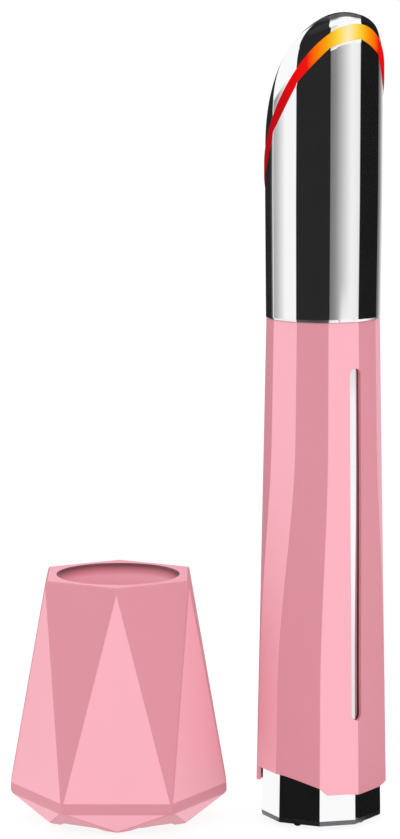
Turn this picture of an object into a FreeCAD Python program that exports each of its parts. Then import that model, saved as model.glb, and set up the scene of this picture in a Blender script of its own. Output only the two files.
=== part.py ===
"""Heated eye massager wand with its faceted stand.

The wand is a chromed twelve-sided barrel, a glowing ring on an oblique plane, a crowned massage head
above that ring, and a pink sleeve over the handle tube. The sleeve goes from twelve sides at its top
towards eight at its foot, has one long slot that bares the tube, and ends in a stepped, wavy skirt.
The stand is a faceted block with a round socket. Lengths are in millimetres, angles in degrees.
"""
import FreeCAD, Part
import math
import os

V = FreeCAD.Vector
UP = V(0, 0, 1)

# ---- overall places ---------------------------------------------------------------------------
AXIS_SPACING = 35.1          # wand axis to stand axis
SLEEVE_FOOT_RADIUS = 11.2    # to the sleeve's corners at the skirt
SLEEVE_TOP_RADIUS = 9.72
STAND_WAIST_RADIUS = 18.8    # widest hexagon of the stand, to its corners
SET_SHIFT = (STAND_WAIST_RADIUS - SLEEVE_FOOT_RADIUS) / 2
WAND = V(SET_SHIFT + AXIS_SPACING / 2, 0, 0)
STAND = V(SET_SHIFT - AXIS_SPACING / 2, 0, 0)

# ---- facets: half the section's corners, from the front, to the right positive; the other half is
# the same turned by 180 degrees
HEAD_CORNERS = (-88.0, -61.0, -29.0, 3.5, 36.0, 64.0)
FOOT_CORNERS = (-90.0, -82.0, -46.0, -3.0, 33.0, 82.0)
TURN_BOTTOM = 24.0           # height where the corners have arrived
LEVELS = 9                   # sections per lofted handle part

# ---- heights of the wand -----------------------------------------------------------------------
PLATE_BOTTOM = 0.7
PLATE_THICKNESS = 0.85
TUBE_BOTTOM = PLATE_BOTTOM + PLATE_THICKNESS
CELL_BOTTOM = 10.8
CELL_LENGTH = 44.0           # the wand grows with its cell
CELL_TOP = CELL_BOTTOM + CELL_LENGTH
ROOM_ABOVE_CELL = 32.5       # from the cell to the seam
SEAM = CELL_TOP + ROOM_ABOVE_CELL   # sleeve meets barrel
TURN_DROP = 20.3
TURN_TOP = SEAM - TURN_DROP  # height where the corners start to wander
COLLAR_FLANGE = 0.5
TUBE_TOP = SEAM - COLLAR_FLANGE

# ---- sleeve and handle tube ----------------------------------------------------------------------
SLEEVE_WALL = 0.75
SLEEVE_GAP = 0.1             # sleeve to tube, at the top
TUBE_TOP_RADIUS = SLEEVE_TOP_RADIUS - SLEEVE_WALL - SLEEVE_GAP
TUBE_FOOT_RADIUS = 10.3
TUBE_WALL = 1.4
SKIRT_HIGH = 9.3             # high end of each skirt wave
SKIRT_LOW = 6.1              # lowest point of the wave
SKIRT_END = 7.0              # where the wave meets the step
SKIRT_END_RISE = 0.3         # further rise of the wave's line outside the sleeve
SKIRT_MIDDLE = 0.56          # share of its fall that the wave has made halfway along
SKIRT_LOW_X = 6.0            # sideways place of the lowest point
SKIRT_RAMP_X = -7.5          # sideways place where the ramp starts
SLOT_ANGLE = 33.0
SLOT_WIDTH = 2.05
SLOT_BOTTOM = 19.0
SLOT_DROP = 7.9              # slot's top end below the seam
SLOT_TOP = SEAM - SLOT_DROP

# ---- oblique plane of the ring -------------------------------------------------------------------
# Height of the ring's upper face on the axis, and how fast it rises to the right and to the back.
BARREL_LENGTH = 34.3
RING_TOP = SEAM + BARREL_LENGTH
RISE_RIGHT = 0.755
RISE_BACK = -1.37
RING_HEIGHT = 2.3            # all heights on this plane are measured upright
RING_PROUD = 0.15            # the ring is round and stands out from the barrel's corners
RING_LIP = 1.6               # lip of the ring inside the barrel
STEEP = math.sqrt(1 + RISE_RIGHT ** 2 + RISE_BACK ** 2)   # upright height per height square to it

# ---- barrel and massage head ---------------------------------------------------------------------
BARREL_SEAM_RADIUS = 9.8
HEAD_RADIUS = 10.0
BARREL_TAPER = 20.7
BARREL_FULL_HEIGHT = SEAM + BARREL_TAPER   # height where the barrel reaches its full radius
BARREL_BORE_RADIUS = 8.4     # above the ledge for the lamp board
BARREL_LOWER_BORE_RADIUS = 7.9
BARREL_FLOOR = 2.7
NECK_RADIUS = 6.5
NECK_BORE_RADIUS = 5.7
NECK_LENGTH = 7.8
CROWN_HEIGHT = 17.55         # short top edge where all facets of the head meet, above RING_TOP
CROWN_ENDS = (0.6, 5.8)      # places of that edge's ends, to the right of the axis
CROWN_CORNER_ENDS = (0, 0, 0, 0, 1, 1, 1, 1, 1, 0, 0, 0)   # end that each corner arches to
CROWN_FRONT = 4.8
CROWN_SIDE_POWER = 1.22      # 2 and 2 would make each facet's arch a quarter ellipse
CROWN_RISE_POWER = 2.78
CROWN_LEVELS = 12
CROWN_SPREAD = 1.6           # above 1 sets the levels closer together near the ring
CROWN_TIP = 0.01             # share of the outline that is left as a narrow flat at the top
HEAD_WALL = 1.4
CAVITY_RADIUS = 6.45
SPIGOT_RADIUS = 7.45
FIT = 0.05                   # clearance of parts that are pushed together

# ---- inside the barrel -----------------------------------------------------------------------------
COLLAR_RADIUS = 7.1
COLLAR_FLANGE_RADIUS = 8.0
COLLAR_LENGTH = 7.3
MOTOR_RADIUS = 3.0
MOTOR_LENGTH = 12.5
MOTOR_CAP = 1.4
MOTOR_CAP_INSET = 0.1
MOTOR_FLAT = 2.36            # axis to each of the can's two flat sides
MOTOR_NOSE_RADIUS = 1.1
MOTOR_NOSE = 0.6
SHAFT_RADIUS = 0.4
SHAFT_CLEARANCE = 0.05
SHAFT_INSIDE = 8.0           # shaft inside the motor
SHAFT_END_ROOM = 0.2
SHAFT_FREE = 5.4             # free length above the motor's nose
WEIGHT_RADIUS = 2.8
WEIGHT_HUB_RADIUS = 0.9
WEIGHT_HEIGHT = 3.6
WEIGHT_GAP = 0.8             # weight above the motor's nose
MOUNT_FLOOR = 2.0
MOUNT_WALL = 1.2
MOUNT_FINS = 3
FIN_THICKNESS = 1.4
MOUNT_HEIGHT = 12.8
MOUNT_CLEARANCE = 0.1
MOUNT_VENT_RADIUS = 1.2
LEAD_HOLE_RADIUS = 1.6
LEAD_HOLE_CIRCLE = 5.4
LED_BOARD_THICKNESS = 0.8
LED_BOARD_BORE = 4.6
LED_COUNT = 6
LED_SIZE = (1.6, 0.8, 0.8)   # along the ring, across it, high
LED_CIRCLE = 7.4
LED_CLEARANCE = 0.15
HEATER_THICKNESS = 0.3
HEATER_RADIUS = 6.3
HEATER_LIFT = 6.0            # film starts this far above the ring's plane
SENSOR_RADIUS = 0.8
SENSOR_SEAT = 1.43           # centre below the film, in radii, because the film slopes

# ---- inside the handle -----------------------------------------------------------------------------
CHASSIS_RADIUS = 7.1
CHASSIS_WALL = 0.9
CHASSIS_FOOT_RADIUS = 7.8
CHASSIS_FOOT = 2.0
BULKHEAD = 1.4
BULKHEAD_ABOVE_CELL = 0.6
BULKHEAD_DROP = 1.5          # upper bulkhead's lower face below the chassis's top
SPINE_HALF_ANGLE = 54.0
CELL_RADIUS = 5.0
CELL_Y = -1.7
CELL_CLEARANCE = 0.1
CELL_END_ROOM = 0.5
CELL_SHOULDER = 0.6          # step of the can's top, inwards
CELL_TOP_STEP = 0.4          # height of that step and of the button above it
CELL_BUTTON_RADIUS = 2.5
TAB_THICKNESS = 0.25
TAB_WIDTH = 3.0
TAB_TAIL = 4.0
TAB_GAP = 0.02               # solder between tab and board
CRADLE_HEIGHTS = (22.0, 42.0)
CRADLE_THICKNESS = 1.6
CRADLE_LIP = 2.0             # cradle's arms reach this far past the cell's axis
BOARD_WIDTH = 9.4
BOARD_THICKNESS = 0.8
BOARD_Y = 4.0
BOARD_BOTTOM = 12.0
BOARD_DROP = 12.3            # board's top edge below the seam
BOARD_TOP = SEAM - BOARD_DROP
BOARD_CLEARANCE = 0.1
# Each block on the board's front face: width, depth, height, sideways place, and how far its centre
# lies below the board's top, as a share of the room down to the lower bulkhead.
BOARD_PARTS = (
    (4.4, 0.9, 4.4, 0.0, 0.22),
    (3.0, 1.1, 3.2, -2.6, 0.515),
    (2.6, 1.0, 2.6, 2.4, 0.515),
    (3.2, 1.8, 3.2, 1.8, 0.8),
    (1.6, 0.9, 3.0, -2.6, 0.8),
)
LEAD_RADIUS = 0.35
LEAD_BEND_SHARE = 0.45       # share of the shorter run that each arc takes
UPPER_LEADS = (-0.8, 0.8)
UPPER_LEAD_Y = 5.2
UPPER_LEAD_RISE = 1.0
LOWER_LEADS = (-1.8, -0.7)
LOWER_LEAD_Y = -1.8
LOWER_LEAD_RISE = 2.2        # straight run above the switch
LOWER_LEAD_DROP = 2.6        # straight run below the board
LEAD_WAY = (4.8, 6.3)        # room for the leads in the chassis's ends, along X and Y
LEAD_WAY_BACK = 1.7          # and how far it reaches behind the board's face

# ---- foot -------------------------------------------------------------------------------------
SCREW_COUNT = 4
SCREW_CIRCLE = 7.75
SCREW_FIRST_ANGLE = 57.2
SCREW_SHANK_RADIUS = 0.55
SCREW_HEAD_RADIUS = 0.85
SCREW_HEAD_HEIGHT = 0.7
SCREW_LENGTH = 5.0
SCREW_HEAD_FLAT = 0.08       # dome taken off, which leaves a small flat to stand on
SCREW_DRIVE_RADIUS = 0.24    # to the corners of the hexagon drive
SCREW_DRIVE_DEPTH = 0.45
BOSS_RADIUS = 1.3
BOSS_HEIGHT = 6.4
PILOT_RADIUS = 0.6
SWITCH_SIZE = (5.5, 3.4)     # bezel block, along X and Y
SWITCH_CENTRE = (-2.05, -2.5)
SWITCH_BOTTOM = 0.2
SWITCH_FLANGE = 0.3
SWITCH_FRONT = 1.2           # flange in front of the block, for the charging pins
SWITCH_NECK_INSET = 0.3
SWITCH_TOP = 4.4
KNOB_SIZE = (1.4, 1.4)
KNOB_SHOE = (1.4, 2.2)
KNOB_SHOE_BOTTOM = 1.6
KNOB_TRAVEL = 1.5
KNOB_BOTTOM = 0.08
KNOB_TOP = 2.8
KNOB_CLEARANCE = 0.08
KNOB_WALL = 0.45             # bezel left of the knob's channel
PIN_RADIUS = 0.32
PIN_BOTTOM = 0.12
PIN_TOP = 5.0
PIN_GAP = 0.12               # pin to the block behind it
PIN_PLACES = (-0.85, 0.1)    # along X from the wand's axis

# ---- stand ------------------------------------------------------------------------------------
STAND_SIDES = 6
STAND_TOP_RADIUS = 14.1
STAND_FOOT_RADIUS = 13.4
STAND_WAIST_BOTTOM = 4.4
STAND_WAIST_TOP = 5.85
STAND_HEIGHT = 42.8
STAND_WALL = 1.9
WAIST_SHARE = 1.2            # walls measured to the waist's corners are this much longer
SOCKET_RADIUS = 10.3
SOCKET_DEPTH = 27.0
SOCKET_WALL = 1.4
SOCKET_FLOOR = 2.0
SOCKET_CHAMFER = 0.3
STAND_CAVITY_TOP = 30.0
FOOT_PAD_THICKNESS = 0.4
FOOT_PAD_RADIUS = 9.2
STAND_BASE_THICKNESS = 1.6
STAND_OPENING_RADIUS = 11.2
BALLAST_RADIUS = 9.3
BALLAST_HEIGHT = 6.5
BALLAST_CLEARANCE = 0.15
PILLAR_RADIUS = 1.9
PILLAR_CIRCLE = 6.2
PILLAR_COUNT = 3
STAND_SCREW_RADIUS = 0.9
STAND_SCREW_HEAD_RADIUS = 1.7
STAND_SCREW_HEAD = 0.9
STAND_SCREW_LENGTH = 6.0
STAND_PILOT_ROOM = 0.3
STAND_SCREW_CLEARANCE = 0.1
STAND_DRIVE = (2.2, 0.4, 0.5)  # each slot of the cross recess: long, wide, deep
SOCKET_PAD_THICKNESS = 1.0
SOCKET_PAD_RADIUS = 9.5
SOCKET_PAD_GAP = 0.1         # round the pad in its recess in the socket's floor

PARTS = "parts"

# ---- working lengths: none shows in the finished pieces ------------------------------------------
WELD = 0.2                   # overlap of pieces that are fused into one
REACH = 25.0                 # well outside the wand, for tools that cut through it
CLEAR = 2.0                  # how far such a tool starts outside a piece


# ---- helpers ----------------------------------------------------------------------------------
def polar(radius, angle, height, centre=WAND):
    """A point at an angle from the front, to the right positive."""
    turn = math.radians(angle)
    return centre + V(radius * math.sin(turn), -radius * math.cos(turn), height)


def ring_of_points(count, first, radius, height, centre=WAND):
    return [polar(radius, first + i * 360 / count, height, centre) for i in range(count)]


def cylinder(radius, bottom, top, centre=WAND):
    return Part.makeCylinder(radius, top - bottom, centre + V(0, 0, bottom), UP)


def tube(outer, inner, bottom, top, centre=WAND):
    return cylinder(outer, bottom, top, centre).cut(cylinder(inner, bottom, top, centre))


def block(low, high, centre=WAND):
    """A box between two corners that are given from an axis on the floor."""
    low, high = V(*low), V(*high)
    size = high - low
    return Part.makeBox(size.x, size.y, size.z, centre + low)


def fuse(shapes):
    first, *rest = shapes
    return first.fuse(rest).removeSplitter() if rest else first


def group(shapes):
    return Part.makeCompound(shapes)


def blend(low, high, share):
    return low + (high - low) * share


def closed(points):
    return Part.makePolygon(points + points[:1])


def solid_of(faces):
    """A solid from lists of corner points, one list per flat face."""
    shell = Part.makeShell([Part.Face(closed(points)) for points in faces])
    return Part.makeSolid(shell)


# ---- faceted sections of the handle --------------------------------------------------------------
def corner_angles(height):
    """The section's twelve corner directions at a height."""
    share = min(1.0, max(0.0, (TURN_TOP - height) / (TURN_TOP - TURN_BOTTOM)))
    share = share * share * (3 - 2 * share)
    half = [blend(top, foot, share) for top, foot in zip(HEAD_CORNERS, FOOT_CORNERS)]
    return half + [angle + 180 for angle in half]


def section(radius, height):
    return closed([polar(radius, angle, height) for angle in corner_angles(height)])


def faceted(radius_at, bottom, top, levels=LEVELS):
    """A solid with the twelve facets, its corners running smoothly through the levels."""
    heights = [blend(bottom, top, i / (levels - 1)) for i in range(levels)]
    return Part.makeLoft([section(radius_at(h), h) for h in heights], True, levels == 2)


def taper(top_radius, foot_radius, top, bottom, height):
    return blend(foot_radius, top_radius, (height - bottom) / (top - bottom))


def sleeve_radius(height):
    return taper(SLEEVE_TOP_RADIUS, SLEEVE_FOOT_RADIUS, SEAM, SKIRT_END, height)


def sleeve_bore_radius(height):
    return sleeve_radius(height) - SLEEVE_WALL


def tube_radius(height):
    return taper(TUBE_TOP_RADIUS, TUBE_FOOT_RADIUS, SEAM, TUBE_BOTTOM, height)


def tube_bore_radius(height):
    return tube_radius(height) - TUBE_WALL


# ---- sleeve, tube and collar ----------------------------------------------------------------------
def skirt_cutter():
    """What is cut away below one half's wave: a curved profile drawn across the front half."""
    reach = SLEEVE_FOOT_RADIUS + CLEAR
    end = V(reach, 0, SKIRT_END + SKIRT_END_RISE)
    start = V(SKIRT_RAMP_X, 0, SKIRT_HIGH)
    middle_x = (SKIRT_RAMP_X + SKIRT_LOW_X) / 2
    wave = Part.BSplineCurve()
    wave.interpolate([start, V(middle_x, 0, blend(SKIRT_HIGH, SKIRT_LOW, SKIRT_MIDDLE)),
                      V(SKIRT_LOW_X, 0, SKIRT_LOW), end])
    corners = [end, V(reach, 0, 0), V(-reach, 0, 0), V(-reach, 0, SKIRT_HIGH), start]
    edges = [wave.toShape()] + [Part.makeLine(a, b) for a, b in zip(corners, corners[1:])]
    cutter = Part.Face(Part.Wire(edges)).extrude(V(0, -reach, 0))
    cutter.translate(WAND)
    return cutter


def slot_cutter():
    """A long slot with round ends, square to the sleeve at the slot's angle."""
    half = SLOT_WIDTH / 2
    low, high = SLOT_BOTTOM + half, SLOT_TOP - half
    reach = SLEEVE_FOOT_RADIUS + CLEAR
    near = SLEEVE_TOP_RADIUS / 2
    straight = Part.makeBox(SLOT_WIDTH, reach - near, high - low, V(-half, -reach, low))
    ends = [Part.makeCylinder(half, reach - near, V(0, -reach, h), V(0, 1, 0)) for h in (low, high)]
    cutter = fuse([straight] + ends)
    cutter.rotate(V(0, 0, 0), UP, SLOT_ANGLE)
    cutter.translate(WAND)
    return cutter


def make_handle_sleeve():
    outer = faceted(sleeve_radius, SKIRT_LOW - CLEAR, SEAM)
    inner = faceted(sleeve_bore_radius, SKIRT_LOW - 2 * CLEAR, SEAM + CLEAR)
    front = skirt_cutter()
    back = front.copy()
    back.rotate(WAND, UP, 180)
    return outer.cut(inner).cut(front).cut(back).cut(slot_cutter())


def foot_screw_places(height):
    return ring_of_points(SCREW_COUNT, SCREW_FIRST_ANGLE, SCREW_CIRCLE, height)


def make_handle_tube():
    outer = faceted(tube_radius, TUBE_BOTTOM, TUBE_TOP)
    inner = faceted(tube_bore_radius, TUBE_BOTTOM - CLEAR, TUBE_TOP + CLEAR)
    places = foot_screw_places(TUBE_BOTTOM)
    bosses = [Part.makeCylinder(BOSS_RADIUS, BOSS_HEIGHT, p, UP).common(outer) for p in places]
    pilots = [Part.makeCylinder(PILOT_RADIUS, BOSS_HEIGHT, p, UP) for p in places]
    return outer.cut(inner).fuse(bosses).cut(group(pilots))


def make_barrel_collar():
    """Insulating ring between the handle tube and the barrel's neck."""
    flange = tube(COLLAR_FLANGE_RADIUS, NECK_RADIUS + FIT, TUBE_TOP, SEAM)
    sleeve = tube(COLLAR_RADIUS, NECK_RADIUS + FIT, SEAM - COLLAR_LENGTH, SEAM)
    return fuse([flange, sleeve])


# ---- head, above and below the oblique plane -----------------------------------------------------
def plane_height(point):
    """Height of the ring's upper face above or below a point."""
    across = point - WAND
    return RING_TOP + RISE_RIGHT * across.x + RISE_BACK * across.y


def slab(low, high):
    """Everything near the wand between two levels of the oblique plane."""
    corners = [WAND + V(x * REACH, y * REACH, 0) for x, y in ((-1, -1), (1, -1), (1, 1), (-1, 1))]
    outline = closed([V(p.x, p.y, plane_height(p) + low) for p in corners])
    return Part.Face(outline).extrude(V(0, 0, high - low))


def oblique_disc(radius, low, high, bore=0.0):
    """An upright cylinder or tube with both ends on the oblique plane."""
    disc = cylinder(radius, SEAM, 2 * SEAM).common(slab(low, high))
    return disc.cut(cylinder(bore, SEAM, 2 * SEAM)) if bore else disc


def crown(inset=0.0):
    """The faceted dome: the corners of the oblique outline arch over to a short top edge."""
    radius = HEAD_RADIUS - inset
    base = [polar(radius, angle, 0) for angle in corner_angles(SEAM)]
    base = [V(p.x, p.y, plane_height(p)) for p in base]
    share = radius / HEAD_RADIUS
    height = RING_TOP + CROWN_HEIGHT - inset
    tops = [WAND + V(CROWN_ENDS[end] * share, -CROWN_FRONT * share, height)
            for end in CROWN_CORNER_ENDS]
    sections = []
    for i in range(CROWN_LEVELS):
        turn = math.pi / 2 * (i / (CROWN_LEVELS - 1)) ** CROWN_SPREAD
        share = max(CROWN_TIP, math.cos(turn) ** (2 / CROWN_SIDE_POWER))
        rise = math.sin(turn) ** (2 / CROWN_RISE_POWER)
        sections.append(closed([V(blend(top.x, p.x, share), blend(top.y, p.y, share),
                                  blend(p.z, top.z, rise)) for p, top in zip(base, tops)]))
    return Part.makeLoft(sections, True, False)


def make_massage_head():
    spigot = oblique_disc(SPIGOT_RADIUS, -RING_HEIGHT - RING_LIP + FIT, WELD)
    cavity = crown(HEAD_WALL).common(cylinder(CAVITY_RADIUS, SEAM, 2 * SEAM))
    shaft = oblique_disc(CAVITY_RADIUS, -RING_HEIGHT - RING_LIP - CLEAR, WELD)
    return crown().fuse(spigot).cut(cavity).cut(shaft)


def make_light_ring():
    band = oblique_disc(HEAD_RADIUS + RING_PROUD, -RING_HEIGHT, 0)
    lip = oblique_disc(BARREL_BORE_RADIUS - FIT, -RING_HEIGHT - RING_LIP, WELD - RING_HEIGHT)
    return band.fuse(lip).cut(cylinder(SPIGOT_RADIUS + FIT, SEAM, 2 * SEAM))


LED_UPRIGHT = LED_SIZE[2] * STEEP
LED_BOARD_TOP = -RING_HEIGHT - RING_LIP - LED_UPRIGHT - LED_CLEARANCE
LED_BOARD_BOTTOM = LED_BOARD_TOP - LED_BOARD_THICKNESS * STEEP
BARREL_FLOOR_TOP = SEAM + BARREL_FLOOR


def make_head_barrel():
    heights = (SEAM, BARREL_FULL_HEIGHT, 2 * SEAM)
    radii = (BARREL_SEAM_RADIUS, HEAD_RADIUS, HEAD_RADIUS)
    outer = Part.makeLoft([section(r, h) for r, h in zip(radii, heights)], True, True)
    outer = outer.common(slab(-SEAM, -RING_HEIGHT))
    neck = cylinder(NECK_RADIUS, SEAM - NECK_LENGTH, SEAM + WELD)
    upper_bore = oblique_disc(BARREL_BORE_RADIUS, LED_BOARD_BOTTOM, CLEAR)
    lower_bore = cylinder(BARREL_LOWER_BORE_RADIUS, BARREL_FLOOR_TOP, 2 * SEAM)
    throat = cylinder(NECK_BORE_RADIUS, SEAM - NECK_LENGTH, BARREL_FLOOR_TOP)
    return outer.fuse(neck).cut(lower_bore).cut(upper_bore).cut(throat)


# ---- lamps, heater and motor ------------------------------------------------------------------
def make_led_board():
    """Annular board on the barrel's ledge, parallel to the ring."""
    return oblique_disc(BARREL_BORE_RADIUS - FIT, LED_BOARD_BOTTOM, LED_BOARD_TOP, LED_BOARD_BORE)


def make_led_lamps():
    """Lamps standing square on the board, all round under the ring's lip."""
    normal = V(-RISE_RIGHT, -RISE_BACK, 1).normalize()
    long, wide, high = LED_SIZE
    lamps = []
    for i in range(LED_COUNT):
        angle = (i + 0.5) * 360 / LED_COUNT
        place = polar(LED_CIRCLE, angle, 0)
        place.z = plane_height(place) + LED_BOARD_TOP
        along = V(math.cos(math.radians(angle)), math.sin(math.radians(angle)), 0)
        along = (along - normal * along.dot(normal)).normalize()
        across = normal.cross(along)
        corner = place - along * (long / 2) - across * (wide / 2)
        ends = [corner, corner + along * long, corner + along * long + across * wide]
        face = Part.Face(closed(ends + [corner + across * wide]))
        lamps.append(face.extrude(normal * high))
    return group(lamps)


def make_heater_film():
    """Heating film laid against the roof of the head's cavity."""
    outer = crown(HEAD_WALL + FIT).common(cylinder(HEATER_RADIUS, SEAM, 2 * SEAM))
    film = outer.cut(crown(HEAD_WALL + FIT + HEATER_THICKNESS))
    return film.cut(slab(-HEAD_RADIUS, HEATER_LIFT))


def make_temperature_sensor():
    axis = Part.makeLine(WAND + V(0, 0, SEAM), WAND + V(0, 0, 2 * SEAM))
    roof = axis.common(make_heater_film()).BoundBox.ZMin
    return Part.makeSphere(SENSOR_RADIUS, WAND + V(0, 0, roof - SENSOR_RADIUS * SENSOR_SEAT))


MOTOR_BOTTOM = BARREL_FLOOR_TOP + MOUNT_FLOOR
MOTOR_TOP = MOTOR_BOTTOM + MOTOR_LENGTH
NOSE_TOP = MOTOR_TOP + MOTOR_NOSE


def make_motor_mount():
    """Cup with three fins that holds the motor on the barrel's axis."""
    bottom, top = BARREL_FLOOR_TOP, BARREL_FLOOR_TOP + MOUNT_HEIGHT
    reach = BARREL_LOWER_BORE_RADIUS - FIT
    floor = cylinder(reach, bottom, MOTOR_BOTTOM)
    cup = cylinder(MOTOR_RADIUS + MOUNT_WALL, bottom, top)
    fins = []
    for i in range(MOUNT_FINS):
        fin = block((0, -FIN_THICKNESS / 2, bottom), (reach - MOUNT_CLEARANCE, FIN_THICKNESS / 2, top))
        fin.rotate(WAND, UP, 30 + i * 360 / MOUNT_FINS)
        fins.append(fin)
    holes = ring_of_points(MOUNT_FINS, 180, LEAD_HOLE_CIRCLE, bottom)
    holes = [Part.makeCylinder(LEAD_HOLE_RADIUS, MOUNT_FLOOR, p, UP) for p in holes]
    bore = cylinder(MOTOR_RADIUS + FIT, MOTOR_BOTTOM, top)
    vent = cylinder(MOUNT_VENT_RADIUS, bottom, MOTOR_BOTTOM)
    return fuse([floor, cup] + fins).cut(bore).cut(vent).cut(group(holes))


def motor_flats():
    """What the can's two flat sides take off."""
    near, far = MOTOR_FLAT, MOTOR_RADIUS + CLEAR
    return group([block((-far, min(s * near, s * far), 0), (far, max(s * near, s * far), 2 * SEAM))
                  for s in (-1, 1)])


def make_motor_case():
    can = cylinder(MOTOR_RADIUS, MOTOR_BOTTOM + MOTOR_CAP, MOTOR_TOP)
    nose = cylinder(MOTOR_NOSE_RADIUS, MOTOR_TOP, NOSE_TOP)
    foot = NOSE_TOP - SHAFT_INSIDE - SHAFT_END_ROOM
    hole = cylinder(SHAFT_RADIUS + SHAFT_CLEARANCE, foot, NOSE_TOP)
    return can.cut(motor_flats()).fuse(nose).cut(hole)


def make_motor_end_cap():
    cap = cylinder(MOTOR_RADIUS - MOTOR_CAP_INSET, MOTOR_BOTTOM, MOTOR_BOTTOM + MOTOR_CAP)
    return cap.cut(motor_flats())


def make_motor_shaft():
    return cylinder(SHAFT_RADIUS, NOSE_TOP - SHAFT_INSIDE, NOSE_TOP + SHAFT_FREE)


def make_eccentric_weight():
    """A half disc with a round hub, pressed on the shaft."""
    bottom = NOSE_TOP + WEIGHT_GAP
    top = bottom + WEIGHT_HEIGHT
    reach = WEIGHT_RADIUS + CLEAR
    front = block((-reach, -reach, bottom), (reach, 0, top))
    half = cylinder(WEIGHT_RADIUS, bottom, top).common(front)
    hub = cylinder(WEIGHT_HUB_RADIUS, bottom, top)
    return fuse([half, hub]).cut(cylinder(SHAFT_RADIUS, bottom, top))


# ---- inside the handle --------------------------------------------------------------------------
def board_room():
    half = BOARD_WIDTH / 2 + BOARD_CLEARANCE
    low, high = BOARD_Y - BOARD_CLEARANCE, BOARD_Y + BOARD_THICKNESS + BOARD_CLEARANCE
    return block((-half, low, BOARD_BOTTOM - BOARD_CLEARANCE), (half, high, BOARD_TOP + BOARD_CLEARANCE))


def cell_cylinder(radius, bottom, top):
    return cylinder(radius, bottom, top, WAND + V(0, CELL_Y, 0))


CHASSIS_BOTTOM = TUBE_BOTTOM + BOSS_HEIGHT
CHASSIS_TOP = SEAM - NECK_LENGTH
BULKHEAD_HEIGHTS = (CELL_TOP + BULKHEAD_ABOVE_CELL, CHASSIS_TOP - BULKHEAD_DROP)


def make_chassis():
    """Spine behind the board, a foot on the tube's bosses, cradles and end walls for the cell."""
    spine = tube(CHASSIS_RADIUS, CHASSIS_RADIUS - CHASSIS_WALL, CHASSIS_BOTTOM, CHASSIS_TOP)
    reach = CHASSIS_RADIUS + CLEAR
    edge = math.radians(SPINE_HALF_ANGLE)
    side = V(reach * math.tan(edge), reach, 0)
    sector = closed([WAND, WAND + side, WAND + V(-side.x, side.y, 0)])
    spine = spine.common(Part.Face(sector).extrude(V(0, 0, CHASSIS_TOP)))
    foot = cylinder(CHASSIS_FOOT_RADIUS, CHASSIS_BOTTOM, CHASSIS_BOTTOM + CHASSIS_FOOT)
    walls = [cylinder(CHASSIS_RADIUS, h, h + BULKHEAD) for h in BULKHEAD_HEIGHTS]
    cradles = [cylinder(CHASSIS_RADIUS, h, h + CRADLE_THICKNESS) for h in CRADLE_HEIGHTS]
    room = cell_cylinder(CELL_RADIUS + CELL_CLEARANCE, CELL_BOTTOM - CELL_END_ROOM,
                         CELL_TOP + CELL_END_ROOM)
    front = block((-REACH, -REACH, CELL_BOTTOM), (REACH, CELL_Y - CRADLE_LIP, CELL_TOP))
    half, back = LEAD_WAY[0] / 2, BOARD_Y + LEAD_WAY_BACK
    lead_way = block((-half, back - LEAD_WAY[1], 0), (half, back, CHASSIS_BOTTOM + CHASSIS_FOOT))
    top_way = block((-half, back - LEAD_WAY[1] / 2, BOARD_TOP), (half, back, CHASSIS_TOP))
    body = fuse([spine, foot] + walls + cradles)
    return body.cut(room).cut(front).cut(board_room()).cut(lead_way).cut(top_way)


def make_battery_cell():
    shoulder_top = CELL_TOP - CELL_TOP_STEP
    can_top = shoulder_top - CELL_TOP_STEP
    can = cell_cylinder(CELL_RADIUS, CELL_BOTTOM, can_top)
    shoulder = cell_cylinder(CELL_RADIUS - CELL_SHOULDER, can_top, shoulder_top)
    button = cell_cylinder(CELL_BUTTON_RADIUS, shoulder_top, CELL_TOP)
    return fuse([can, shoulder, button])


def make_battery_tabs():
    """Nickel strips on the cell's ends, bent up to the board."""
    half = TAB_WIDTH / 2
    reach = BOARD_Y - TAB_GAP
    start = CELL_Y - half
    t = TAB_THICKNESS
    low = block((-half, start, CELL_BOTTOM - t), (half, reach, CELL_BOTTOM))
    low_tail = block((-half, reach - t, CELL_BOTTOM - t), (half, reach, CELL_BOTTOM + TAB_TAIL))
    high = block((-half, start, CELL_TOP), (half, reach, CELL_TOP + t))
    high_tail = block((-half, reach - t, CELL_TOP - TAB_TAIL), (half, reach, CELL_TOP + t))
    return group([fuse([low, low_tail]), fuse([high, high_tail])])


def make_circuit_board():
    half = BOARD_WIDTH / 2
    return block((-half, BOARD_Y, BOARD_BOTTOM), (half, BOARD_Y + BOARD_THICKNESS, BOARD_TOP))


def make_board_components():
    front = BOARD_Y
    room_bottom = BULKHEAD_HEIGHTS[0] + BULKHEAD
    shapes = []
    for width, depth, height, x, share in BOARD_PARTS:
        z = blend(BOARD_TOP, room_bottom, share)
        low = (x - width / 2, front - depth, z - height / 2)
        shapes.append(block(low, (x + width / 2, front, z + height / 2)))
    return group(shapes)


def lead(points):
    """A round lead: straight runs through points given from the wand's axis, joined by arcs."""
    points = [WAND + V(*p) for p in points]
    edges = []
    start = points[0]
    for before, corner, after in zip(points, points[1:], points[2:]):
        way_in = (corner - before).normalize()
        way_out = (after - corner).normalize()
        reach = LEAD_BEND_SHARE * min((corner - before).Length, (after - corner).Length)
        arc_in, arc_out = corner - way_in * reach, corner + way_out * reach
        radius = reach / math.tan(way_in.getAngle(way_out) / 2)
        inward = (way_out - way_in).normalize()
        depth = math.hypot(radius, reach) - radius
        edges.append(Part.makeLine(start, arc_in))
        edges.append(Part.Arc(arc_in, corner + inward * depth, arc_out).toShape())
        start = arc_out
    edges.append(Part.makeLine(start, points[-1]))
    ahead = points[1] - points[0]
    ring = Part.Wire([Part.makeCircle(LEAD_RADIUS, points[0], ahead)])
    return Part.Wire(edges).makePipeShell([ring], True, True)


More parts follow.
